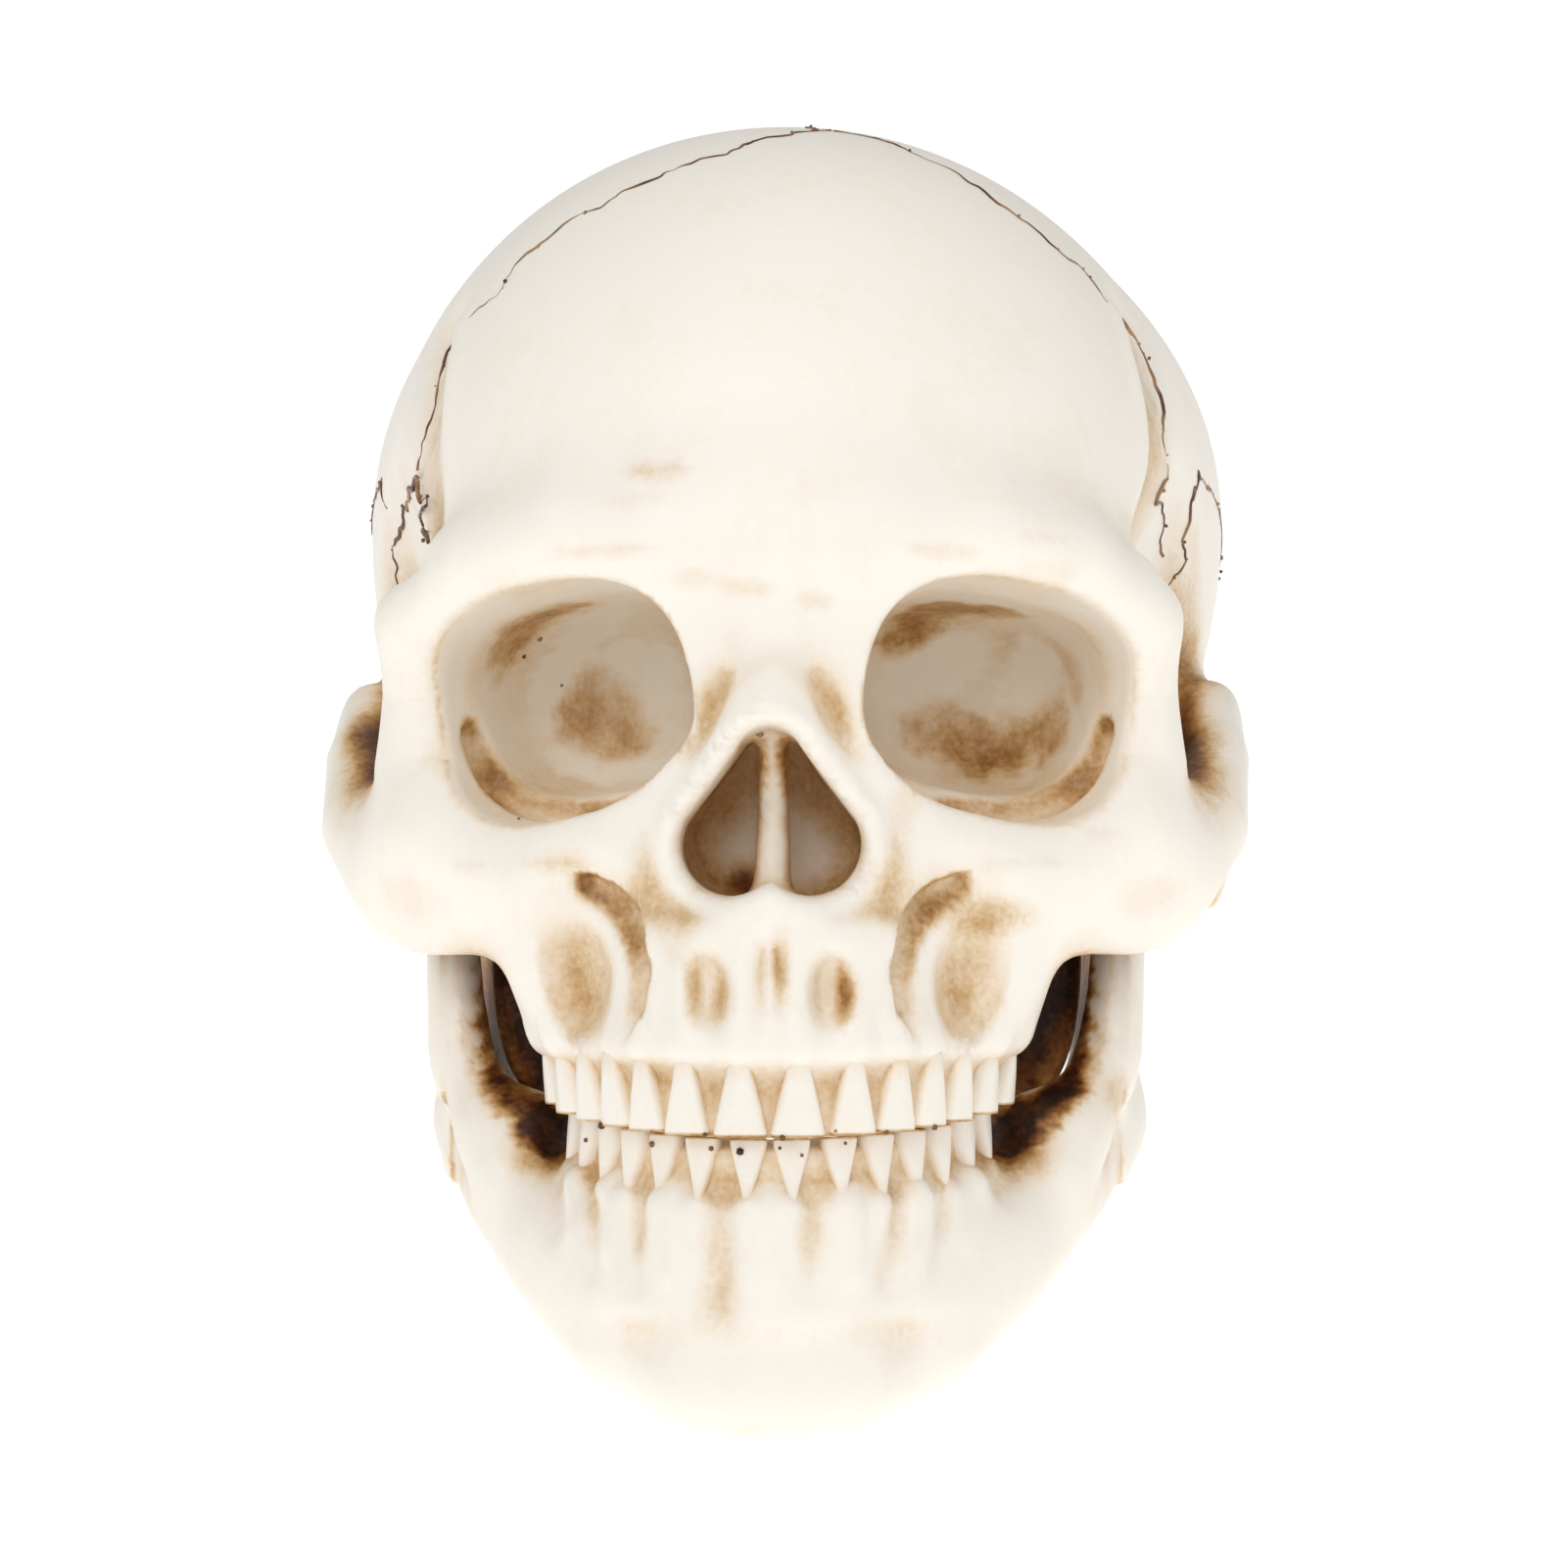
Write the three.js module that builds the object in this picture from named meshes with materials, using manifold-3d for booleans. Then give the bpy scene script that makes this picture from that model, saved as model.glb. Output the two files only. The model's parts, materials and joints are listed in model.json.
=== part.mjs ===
// Life-size cast-resin human skull for a seasonal display: a hollow cranium, and a jaw that
// hinges on two short steel pins. The pins run in sleeves set in the jaw's condyles, and a
// painted filler plug hides each pin's outer end.
//
// The bone is drawn in its own upright pose: across (towards the right of the view), forward
// (out of the face) and up, with the ear line as zero. It is then tipped back until it stands
// on the chin and on the back of the cranium, with the face towards -Y.

import * as THREE from "three";
import { mergeVertices } from "three/addons/utils/BufferGeometryUtils.js";
import Module from "manifold-3d";

// Overall sizes of the bone, in millimetres
const socketBreadth = 100.0; // across the outer rims of the two eye sockets
const baseLength = 100.0; // from the ear line to the front of the brow
const faceHeight = 100.0; // from the middle of the eye sockets to the chin
const tiltDegrees = 24.0; // how far the skull leans back when it stands

// Walls, cuts and clearances, in millimetres
const wallThickness = 6.0; // resin wall of the braincase
const foramenWidth = 30.0; // the large hole under the braincase, side to side
const foramenLength = 35.0;
const standDepth = 1.0; // how deep the flats that the skull stands on are ground
const biteGap = 0.5; // between the two rows of teeth
const toothGap = 0.3; // between neighbouring teeth
const crownWallGap = 1.4; // from the bite to the wall behind the crowns
const seatGap = 0.3; // between two pieces that are seated in each other

// The jaw's joint, in millimetres
const condyleRadius = 6.4;
const condyleLength = 11.0;
const socketClearance = 0.7; // all round the condyle in its socket
const swingRoom = 6.0; // extra room behind the condyle's neck for the jaw's swing
const pinDiameter = 3.2;
const pinSeatDepth = 6.0; // how far the pin runs into the base of the cranium
const bushWall = 1.2;
const plugDiameter = 5.6;
const plugDepth = 2.2;

const sideClearance = 0.5; // at each end of the condyle
const lugThickness = 9.0; // the lug outside the condyle, up to the plug's outer face
const bushDiameter = pinDiameter + 2 * seatGap + 2 * bushWall;
const overrun = 2.0; // how far every cut runs past what it cuts

// Fineness of the facets, in millimetres
const faceCell = 2.6;
const vaultCell = 5.6;
const hollowCell = 10.0;
const turnSides = 20; // sides of a turned piece
const craniumFacets = 6600;
const jawFacets = 2300;
const hollowFacets = 600;
const blockCount = 4; // points along each side of a block that is read together
const surfaceRounds = 3;
const thinningShare = 0.2; // most facets thinned away in one round
const turnShare = 0.35; // least cosine of a facet's turn while thinning
const lengthShare = 0.0004; // how much long edges resist thinning
const nudgeShare = 0.1;
const leastSlopeShare = 0.3;

// Colours and finish
const BONE = { color: 0xede0cc, roughness: 0.55, metalness: 0 };
const STEEL = { color: 0xb9bcc0, roughness: 0.35, metalness: 1 };
const SLEEVE = { color: 0xd9d6cc, roughness: 0.6, metalness: 0 };

// Braincase: rounded masses, each as its middle, its half sizes and how far it turns and rolls
// (degrees), all places as shares of the socket breadth, the base length and the face height
const vaultShares = [0, -0.15, 0.415, 0.695, 0.83, 0.649, 0];
const foreheadShares = [0, 0.42, 0.43, 0.53, 0.51, 0.535, 0];
const occiputShares = [0, -0.6, 0.24, 0.57, 0.41, 0.43, 0];
const underbrainShares = [0, -0.2, 0.0, 0.46, 0.6, 0.27, 0];
const cerebellumShares = [0.23, -0.56, -0.06, 0.27, 0.3, 0.19, 0];
const parietalShares = [0.315, -0.34, 0.54, 0.33, 0.4, 0.31, 0];
const templeShares = [0.66, 0.42, 0.1, 0.19, 0.24, 0.32, 0];
const skullBaseShares = [0, 0.22, -0.08, 0.22, 0.34, 0.16, 0];

// Face: rounded masses in the same form
const socketBlockShares = [0.31, 0.6, 0.07, 0.27, 0.12, 0.25, -25];
const maxillaShares = [0.14, 0.62, -0.17, 0.27, 0.23, 0.27, 0];
const tuberosityShares = [0.26, 0.46, -0.2, 0.11, 0.13, 0.2, 0];
const cheekShares = [0.49, 0.565, -0.13, 0.16, 0.085, 0.122, -42];
const glabellaShares = [0, 0.86, 0.31, 0.15, 0.075, 0.09, 0];
const recessWallShares = [0.3, 0.31, -0.22, 0.15, 0.035, 0.27, 10];

// Hollows of the face, in the same form
const socketHollowShares = [0.305, 0.76, 0.095, 0.21, 0.21, 0.162, -16, 10];
const socketBowlShares = [0.275, 0.58, 0.12, 0.175, 0.18, 0.135, -16, 10];
const canineHollowShares = [0.29, 0.87, -0.26, 0.08, 0.075, 0.11, -35];
const innerCanineHollowShares = [0.285, 0.81, -0.295, 0.06, 0.06, 0.085, -35];
const besideSpineHollowShares = [0.083, 0.97, -0.305, 0.031, 0.05, 0.054, 0];
const underSpineHollowShares = [0, 0.99, -0.28, 0.02, 0.044, 0.075, 0];
const palateHollowShares = [0, 0.56, -0.45, 0.21, 0.27, 0.16, 0];
const earHollowShares = [0.66, -0.045, 0.0, 0.12, 0.034, 0.042, 0];

// Rods of bone: each knot as its place and its radius, the radius as a share of the girth
const browShares = [
  [0.06, 0.86, 0.29, 0.055],
  [0.17, 0.87, 0.305, 0.055],
  [0.29, 0.84, 0.315, 0.055],
  [0.42, 0.76, 0.285, 0.055],
  [0.505, 0.67, 0.22, 0.052],
];
const outerRimShares = [
  [0.51, 0.66, 0.22, 0.052],
  [0.515, 0.61, 0.12, 0.055],
  [0.52, 0.6, 0.02, 0.062],
  [0.5, 0.61, -0.07, 0.07],
];
const lowerRimShares = [
  [0.48, 0.63, -0.07, 0.06],
  [0.39, 0.69, -0.128, 0.055],
  [0.29, 0.75, -0.145, 0.052],
  [0.19, 0.8, -0.095, 0.05],
  [0.125, 0.83, 0.01, 0.048],
  [0.095, 0.83, 0.13, 0.045],
  [0.1, 0.84, 0.22, 0.045],
];
const archShares = [
  [0.6, -0.2, 0.03, 0.05],
  [0.638, 0.0, 0.13, 0.055],
  [0.656, 0.18, 0.14, 0.043],
  [0.65, 0.34, 0.045, 0.052],
  [0.616, 0.45, -0.06, 0.072],
  [0.54, 0.54, -0.115, 0.084],
];
const noseBridgeShares = [
  [0, 0.82, 0.25, 0.065],
  [0, 0.84, 0.2, 0.055],
  [0, 0.925, 0.075, 0.045],
];
const noseSideShares = [
  [0.07, 0.82, 0.18, 0.055],
  [0.115, 0.825, -0.02, 0.065],
  [0.15, 0.8, -0.13, 0.07],
];
const noseRimShares = [
  [0, 0.955, 0.065, 0.024],
  [0.06, 0.92, -0.01, 0.024],
  [0.105, 0.885, -0.08, 0.025],
  [0.13, 0.87, -0.135, 0.026],
  [0.11, 0.865, -0.19, 0.026],
  [0.045, 0.895, -0.2, 0.026],
  [0, 0.925, -0.185, 0.028],
];
const septumShares = [
  [0, 0.86, 0.05, 0.016],
  [0, 0.79, -0.06, 0.022],
  [0, 0.84, -0.18, 0.026],
];
const mastoidShares = [
  [0.54, -0.06, 0.04, 0.13],
  [0.52, -0.05, -0.1, 0.1],
  [0.48, -0.06, -0.22, 0.06],
];
const pterygoidShares = [
  [0.17, 0.36, -0.08, 0.07],
  [0.2, 0.4, -0.32, 0.04],
];
const noseBackShare = 0.68;
const noseHollowShares = [
  [0, -0.002, 0.05],
  [0.052, -0.108, 0.073],
];

// Grooves cut along a rod: round the outer foot of each eye socket's bowl, and beside each
// canine hollow
const socketGrooveShares = [
  [0.465, 0.6, 0.06, 0.022],
  [0.435, 0.59, 0.0, 0.028],
  [0.38, 0.6, -0.03, 0.03],
  [0.32, 0.605, -0.045, 0.03],
  [0.255, 0.62, -0.038, 0.022],
];
const canineGrooveShares = [
  [0.25, 0.815, -0.16, 0.014],
  [0.205, 0.835, -0.185, 0.02],
  [0.182, 0.865, -0.23, 0.022],
  [0.178, 0.885, -0.28, 0.021],
  [0.183, 0.89, -0.325, 0.016],
  [0.2, 0.887, -0.36, 0.006],
];

// Gums: the middle line of each row of teeth is half an oval with straight legs behind it. Each
// row also has its crowns' necks, as a share of their widths, and how its roots start
const upperRowShares = {
  middle: 0.47, across: 0.3, forward: 0.44, back: 0.4, half: 0.054,
  neck: 0.5, rootInset: 0.03, rootRadius: 0.36,
};
const lowerRowShares = {
  middle: 0.47, across: 0.27, forward: 0.41, back: 0.4, half: 0.05,
  neck: 0.3, rootInset: 0.015, rootRadius: 0.34,
};

// Heights that slope along the face: the height, where it holds, and the slope behind it
const biteShares = { height: -0.507, forward: 0.95, slope: -0.1125 };
const upperGumShares = { height: -0.407, forward: 0.93, slope: -0.07 };
const upperGumTopShares = { height: -0.22, forward: 0.93, slope: 0 };
const lowerGumShares = { height: -0.583, forward: 0.92, slope: -0.1 };
const lowerGumEndShares = { height: -0.74, forward: 0.92, slope: -0.2 };

// Teeth from the middle backwards: the turn round the oval as a share of a quarter turn, then
// the width, the depth and the depth at the biting edge as shares of the girth
const upperTeethShares = [
  [0.07, 0.075, 0.07, 0.022],
  [0.203, 0.068, 0.064, 0.022],
  [0.319, 0.066, 0.076, 0.034],
  [0.425, 0.068, 0.084, 0.062],
  [0.531, 0.071, 0.086, 0.066],
  [0.656, 0.096, 0.1, 0.084],
  [0.805, 0.093, 0.098, 0.08],
];
const lowerTeethShares = [
  [0.058, 0.053, 0.062, 0.022],
  [0.186, 0.053, 0.064, 0.022],
  [0.3, 0.057, 0.072, 0.034],
  [0.411, 0.062, 0.076, 0.056],
  [0.518, 0.066, 0.078, 0.06],
  [0.648, 0.082, 0.092, 0.078],
  [0.79, 0.082, 0.09, 0.076],
];
// Roots: their length, where they start and end in the gum's thickness, and their tip's radius
// as a share of the crown's width
const rootShares = { length: 0.13, start: 0.72, end: 0.6, tipRadius: 0.24 };

// A crown's rings from root to edge: height from gum to edge, width from the neck's to the full
// width, and how far the edge's depth has been reached
const crownShares = [
  [-0.3, -0.15, 0],
  [0.1, 0.1, 0.05],
  [0.5, 0.6, 0.4],
  [0.88, 1, 0.88],
  [1, 0.85, 1],
];
// The outline of a crown seen along the tooth
const crownOutlineShares = [
  [1, -0.5],
  [1, 0.5],
  [0.72, 1],
  [-0.72, 1],
  [-1, 0.5],
  [-1, -0.5],
  [-0.72, -1],
  [0.72, -1],
];

// Jaw: where it pivots, its rods and its masses
const pivotShares = [0.54, 0.13, -0.07];
const lowerBorderShares = [
  [0, 0.81, -0.815, 0.08],
  [0.11, 0.795, -0.815, 0.08],
  [0.21, 0.73, -0.78, 0.075],
  [0.31, 0.6, -0.7, 0.07],
  [0.4, 0.44, -0.615, 0.062],
  [0.453, 0.3, -0.555, 0.056],
  [0.478, 0.19, -0.5, 0.054],
];
const jawPlateShares = [
  [0, 0.825, -0.7, 0.07],
  [0.15, 0.785, -0.7, 0.068],
  [0.26, 0.68, -0.66, 0.064],
  [0.34, 0.54, -0.61, 0.06],
];
const chinShares = [0, 0.845, -0.82, 0.14, 0.065, 0.08, 0];
const ramusBackShares = [
  [0.478, 0.19, -0.5, 0.054],
  [0.49, 0.165, -0.34, 0.036],
  [0.515, 0.14, -0.18, 0.036],
  [0.54, 0.13, -0.09, 0.05],
];
const ramusFrontShares = [
  [0.535, 0.37, -0.08, 0.026],
  [0.504, 0.38, -0.2, 0.026],
  [0.493, 0.39, -0.31, 0.03],
  [0.478, 0.41, -0.39, 0.04],
  [0.45, 0.45, -0.46, 0.046],
  [0.396, 0.52, -0.56, 0.052],
];
const ramusPlateShares = [0.498, 0.27, -0.33, 0.026, 0.15, 0.22, 0];

// Softness of the joins, as shares of the girth
const softShares = { vault: 0.22, base: 0.14, face: 0.12, rim: 0.07, edge: 0.03, fine: 0.02 };
const wallSetShare = 1.02; // the crown wall's line, of the row's line
const wallHalfShare = 0.5; // its thickness, of the gum's
const roundShare = 0.3; // rounding of the condyle's ends, of its radius

// How far the forms reach, and where the hole under the braincase lies
const craniumReachShares = {
  across: 0.8, back: -1.12, faceBack: 0.3, front: 1.02, bottom: -0.51, faceTop: 0.4, top: 1.13,
};
const hollowReachShares = { across: 0.72, back: -1.02, front: 0.96, bottom: -0.3, top: 1.08 };
const jawReachShares = { across: 0.66, back: 0.02, front: 0.98, bottom: -0.98, top: 0.02 };
const foramenPlaceShares = [0, -0.27, -0.25];
const foramenDepthShare = 0.4;
const groundShare = 10;
const socketPower = 2.7; // how square the eye sockets and a few other masses are
const vaultPower = 2.17; // and the vault
const crownSetShare = 0.12; // how far a crown's edge stands back from its neck

// The tables above as real sizes
const sizes = [socketBreadth, baseLength, faceHeight];
const girth = Math.cbrt(socketBreadth * baseLength * faceHeight);

function turnOf(degrees) {
  const turn = THREE.MathUtils.degToRad(degrees);
  return { cos: Math.cos(turn), sin: Math.sin(turn) };
}

function massOf([x, y, z, across, forward, up, turnDegrees, rollDegrees = 0]) {
  return {
    middle: [x * socketBreadth, y * baseLength, z * faceHeight],
    half: [across * socketBreadth, forward * baseLength, up * faceHeight],
    turn: turnOf(turnDegrees),
    roll: turnOf(rollDegrees),
  };
}

function rodOf(rows) {
  return rows.map(([x, y, z, radius]) => [
    x * socketBreadth,
    y * baseLength,
    z * faceHeight,
    radius * girth,
  ]);
}

// Blended forms: each gives a point's distance outside (above zero) or inside (below zero)

// A rounded mass: an ellipsoid, or a squarer form where the power is over 2
function mass({ middle, half, turn, roll }, [x, y, z], power = 2) {
  const dx = x - middle[0];
  const dy = y - middle[1];
  const dz = z - middle[2];
  const side = dx * turn.cos + dy * turn.sin;
  const across = Math.abs(side * roll.cos - dz * roll.sin);
  const forward = Math.abs(dy * turn.cos - dx * turn.sin);
  const up = Math.abs(side * roll.sin + dz * roll.cos);
  const sum =
    (across / half[0]) ** power + (forward / half[1]) ** power + (up / half[2]) ** power;
  const reach = sum ** (1 / power);
  const slope = Math.hypot(across / half[0] ** 2, forward / half[1] ** 2, up / half[2] ** 2);
  return slope > 0 ? (reach * (reach - 1)) / slope : -Math.min(...half);
}

// A rod of bone through its knots
function rod(knots, [x, y, z]) {
  let nearest = Infinity;
  for (let i = 0; i + 1 < knots.length; i++) {
    const [ax, ay, az, ar] = knots[i];
    const [bx, by, bz, br] = knots[i + 1];
    const ux = bx - ax;
    const uy = by - ay;
    const uz = bz - az;
    const along = ((x - ax) * ux + (y - ay) * uy + (z - az) * uz) / (ux * ux + uy * uy + uz * uz);
    const t = Math.min(Math.max(along, 0), 1);
    const gap = Math.hypot(x - ax - t * ux, y - ay - t * uy, z - az - t * uz);
    nearest = Math.min(nearest, gap - ar - t * (br - ar));
  }
  return nearest;
}

// Two forms joined with a soft valley between them
function blend(a, b, softness) {
  const overlap = Math.max(softness - Math.abs(a - b), 0) / softness;
  return Math.min(a, b) - (overlap * overlap * softness) / 4;
}

// One form hollowed by another, with a soft edge
function carve(a, b, softness) {
  return -blend(-a, b, softness);
}

// A height that slopes along the face
function slopingHeight({ height, forward, slope }, y) {
  return (height + slope * (y / baseLength - forward)) * faceHeight;
}

// A band of gum along a row of teeth, between two heights
function gum(row, bottom, top, [x, y, z], softness = soft.edge) {
  const across = row.across * socketBreadth;
  const forward = row.forward * baseLength;
  const dy = y - row.middle * baseLength;
  let fromLine = x - across;
  if (dy > 0) {
    const reach = Math.hypot(x / across, dy / forward);
    const slope = Math.hypot(x / across ** 2, dy / forward ** 2);
    fromLine = slope > 0 ? (reach * (reach - 1)) / slope : -across;
  }
  const band = Math.abs(fromLine) - row.half * girth;
  const above = z - slopingHeight(top, y);
  const below = slopingHeight(bottom, y) - z;
  const behind = row.back * baseLength - y;
  const height = Math.max(above, below, behind);
  return carve(band, -height, softness);
}

// The ridges that the roots raise on the gum, one rod for each tooth
function rootRods(row, teethShares, gumHeight, direction) {
  const across = row.across * socketBreadth;
  const forward = row.forward * baseLength;
  return teethShares.map(([turnShare, width]) => {
    const turn = (turnShare * Math.PI) / 2;
    const out = [Math.sin(turn) / across, Math.cos(turn) / forward];
    const long = Math.hypot(...out);
    const middle = [across * Math.sin(turn), row.middle * baseLength + forward * Math.cos(turn)];
    const height = slopingHeight(gumHeight, middle[1]);
    const knot = (set, rise, radius) => [
      middle[0] + (out[0] / long) * set * row.half * girth,
      middle[1] + (out[1] / long) * set * row.half * girth,
      height + direction * rise * faceHeight,
      radius * width * girth,
    ];
    return [
      knot(rootShares.start, row.rootInset, row.rootRadius),
      knot(rootShares.end, rootShares.length, rootShares.tipRadius),
    ];
  });
}

function roots(rods, p) {
  return Math.min(...rods.map((knots) => rod(knots, p)));
}

// The wall that the crowns stand out from, between the gum and the biting edge
function crownWall(row, gumHeight, edgeGap, [x, y, z]) {
  const inner = { ...row, across: row.across * wallSetShare, forward: row.forward * wallSetShare };
  inner.half = row.half * wallHalfShare;
  const edge = { ...biteShares, height: biteShares.height + edgeGap / faceHeight };
  return edgeGap > 0
    ? gum(inner, edge, gumHeight, [x, y, z], soft.fine)
    : gum(inner, gumHeight, edge, [x, y, z], soft.fine);
}

// A short drum across the skull with rounded ends
function drum([cx, cy, cz], radius, halfLength, rounding, [x, y, z]) {
  const outward = Math.hypot(y - cy, z - cz) - radius + rounding;
  const along = Math.abs(x - cx) - halfLength + rounding;
  const outside = Math.hypot(Math.max(outward, 0), Math.max(along, 0));
  return outside + Math.min(Math.max(outward, along), 0) - rounding;
}

// A block between two corners
function block(low, high, p) {
  const over = low.map((v, i) => Math.max(v - p[i], p[i] - high[i]));
  const outside = Math.hypot(...over.map((v) => Math.max(v, 0)));
  return outside + Math.min(Math.max(...over), 0);
}

const soft = Object.fromEntries(Object.entries(softShares).map(([k, v]) => [k, v * girth]));
const form = {
  vault: massOf(vaultShares),
  forehead: massOf(foreheadShares),
  occiput: massOf(occiputShares),
  underbrain: massOf(underbrainShares),
  cerebellum: massOf(cerebellumShares),
  parietal: massOf(parietalShares),
  temple: massOf(templeShares),
  skullBase: massOf(skullBaseShares),
  socketBlock: massOf(socketBlockShares),
  maxilla: massOf(maxillaShares),
  tuberosity: massOf(tuberosityShares),
  cheek: massOf(cheekShares),
  glabella: massOf(glabellaShares),
  recessWall: massOf(recessWallShares),
  socketHollow: massOf(socketHollowShares),
  socketBowl: massOf(socketBowlShares),
  socketGroove: rodOf(socketGrooveShares),
  canineGroove: rodOf(canineGrooveShares),
  canineHollow: massOf(canineHollowShares),
  innerCanineHollow: massOf(innerCanineHollowShares),
  besideSpineHollow: massOf(besideSpineHollowShares),
  underSpineHollow: massOf(underSpineHollowShares),
  palateHollow: massOf(palateHollowShares),
  earHollow: massOf(earHollowShares),
  brow: rodOf(browShares),
  outerRim: rodOf(outerRimShares),
  lowerRim: rodOf(lowerRimShares),
  arch: rodOf(archShares),
  noseBridge: rodOf(noseBridgeShares),
  noseSide: rodOf(noseSideShares),
  noseRim: rodOf(noseRimShares),
  septum: rodOf(septumShares),
  mastoid: rodOf(mastoidShares),
  pterygoid: rodOf(pterygoidShares),
  lowerBorder: rodOf(lowerBorderShares),
  jawPlate: rodOf(jawPlateShares),
  chin: massOf(chinShares),
  ramusBack: rodOf(ramusBackShares),
  ramusFront: rodOf(ramusFrontShares),
  ramusPlate: massOf(ramusPlateShares),
};
const upperRoots = rootRods(upperRowShares, upperTeethShares, upperGumShares, 1);
const lowerRoots = rootRods(lowerRowShares, lowerTeethShares, lowerGumShares, -1);
const pivot = pivotShares.map((share, i) => share * sizes[i]);

// The jaw's joint across the skull, outwards from the middle
const halfCondyle = condyleLength / 2;
const socketInside = pivot[0] - halfCondyle - sideClearance;
const socketOutside = pivot[0] + halfCondyle + sideClearance;
const pinInnerEnd = socketInside - pinSeatDepth;
const plugOuterEnd = socketOutside + lugThickness;
const pinOuterEnd = plugOuterEnd - plugDepth - seatGap;
const socketRadius = condyleRadius + socketClearance;
const lug = {
  middle: [socketOutside + lugThickness / 2, pivot[1], pivot[2] + socketRadius / 2],
  half: [lugThickness / 2 + seatGap, socketRadius + wallThickness / 2, socketRadius * 2],
  turn: turnOf(0),
  roll: turnOf(0),
};
const innerSeat = [
  [socketInside - pinSeatDepth, pivot[1], pivot[2], socketRadius],
  [socketInside - socketRadius / 2, pivot[1], pivot[2], socketRadius],
];

// The braincase without its face
function braincase(p) {
  let d = mass(form.vault, p, vaultPower);
  d = blend(d, mass(form.forehead, p), soft.vault);
  d = blend(d, mass(form.occiput, p), soft.vault);
  d = blend(d, mass(form.parietal, p), soft.vault);
  d = blend(d, mass(form.underbrain, p), soft.base);
  d = blend(d, mass(form.cerebellum, p), soft.base);
  return carve(d, mass(form.temple, p), soft.base);
}

// Cheek bones, brow, rims of the eye sockets, nose and upper jaw as one mass
function faceBones(p) {
  let d = blend(mass(form.socketBlock, p), mass(form.maxilla, p), soft.face);
  d = blend(d, mass(form.tuberosity, p), soft.face);
  d = blend(d, mass(form.glabella, p), soft.face);
  d = blend(d, mass(form.cheek, p), soft.rim);
  d = blend(d, rod(form.brow, p), soft.rim);
  d = blend(d, rod(form.outerRim, p), soft.rim);
  d = blend(d, rod(form.lowerRim, p), soft.rim);
  d = blend(d, rod(form.noseSide, p), soft.rim);
  d = blend(d, rod(form.noseBridge, p), soft.rim);
  d = blend(d, gum(upperRowShares, upperGumShares, upperGumTopShares, p), soft.rim);
  d = blend(d, roots(upperRoots, p), soft.fine);
  d = blend(d, crownWall(upperRowShares, upperGumTopShares, crownWallGap, p), soft.fine);
  d = blend(d, rod(form.pterygoid, p), soft.rim);
  return blend(d, mass(form.recessWall, p, socketPower), soft.rim);
}

// The heart-shaped way into the nose, run from front to back
function noseHollow([x, y, z]) {
  const [top, bottom] = noseHollowShares.map(([across, up, radius]) => [
    across * socketBreadth,
    up * faceHeight,
    radius * girth,
  ]);
  const ux = bottom[0] - top[0];
  const uz = bottom[1] - top[1];
  const along = ((x - top[0]) * ux + (z - top[1]) * uz) / (ux * ux + uz * uz);
  const t = Math.min(Math.max(along, 0), 1);
  const side = Math.hypot(x - top[0] - t * ux, z - top[1] - t * uz);
  const back = noseBackShare * baseLength - y;
  return carve(side - top[2] - t * (bottom[2] - top[2]), -back, soft.rim);
}

// The whole cranium: braincase, face, cheek arches and the jaw's sockets
function cranium([px, y, z]) {
  const p = [Math.abs(px), y, z];
  let d = blend(braincase(p), mass(form.skullBase, p), soft.base);
  d = blend(d, rod(form.mastoid, p), soft.rim);
  d = blend(d, rod(innerSeat, p), soft.rim);
  d = blend(d, faceBones(p), soft.face);
  d = blend(d, rod(form.arch, p), soft.rim);
  d = blend(d, mass(lug, p, socketPower), soft.rim);
  d = carve(d, mass(form.socketHollow, p, socketPower), soft.edge);
  d = carve(d, mass(form.socketBowl, p, socketPower), soft.fine);
  d = carve(d, mass(form.canineHollow, p), soft.rim);
  d = carve(d, mass(form.innerCanineHollow, p), soft.fine);
  d = carve(d, mass(form.besideSpineHollow, p), soft.fine);
  d = carve(d, mass(form.underSpineHollow, p), soft.fine);
  d = carve(d, rod(form.socketGroove, p), soft.fine);
  d = carve(d, rod(form.canineGroove, p), soft.fine);
  d = carve(d, mass(form.earHollow, p), soft.edge);
  d = carve(d, mass(form.palateHollow, p), soft.edge);
  d = blend(d, rod(form.noseRim, p), soft.rim);
  d = carve(d, noseHollow(p), soft.fine);
  d = blend(d, rod(form.septum, p), soft.edge);
  return carve(d, jawSocket(p), soft.fine);
}

// Room for the condyle, open below for the jaw's neck as it swings
function jawSocket(p) {
  const low = [socketInside, pivot[1] - socketRadius - swingRoom, pivot[2] - faceHeight];
  const high = [socketOutside, pivot[1] + socketRadius + swingRoom / 2, pivot[2] - socketRadius / 2];
  const round = drum(pivot, socketRadius, halfCondyle + sideClearance, seatGap, p);
  return blend(round, block(low, high, p), soft.fine);
}

// The lower jaw with its two upright branches
function jaw([px, y, z]) {
  const p = [Math.abs(px), y, z];
  let d = blend(rod(form.lowerBorder, p), rod(form.jawPlate, p), soft.rim);
  d = blend(d, gum(lowerRowShares, lowerGumEndShares, lowerGumShares, p), soft.rim);
  d = blend(d, roots(lowerRoots, p), soft.fine);
  d = blend(d, crownWall(lowerRowShares, lowerGumEndShares, -crownWallGap, p), soft.fine);
  d = blend(d, mass(form.chin, p), soft.rim);
  let branch = blend(rod(form.ramusBack, p), rod(form.ramusFront, p), soft.rim);
  branch = blend(branch, mass(form.ramusPlate, p), soft.rim);
  branch = blend(branch, drum(pivot, condyleRadius, halfCondyle, roundShare * condyleRadius, p), soft.fine);
  d = blend(d, branch, soft.rim);
  return carve(d, cranium(p) - socketClearance, soft.fine);
}

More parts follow.
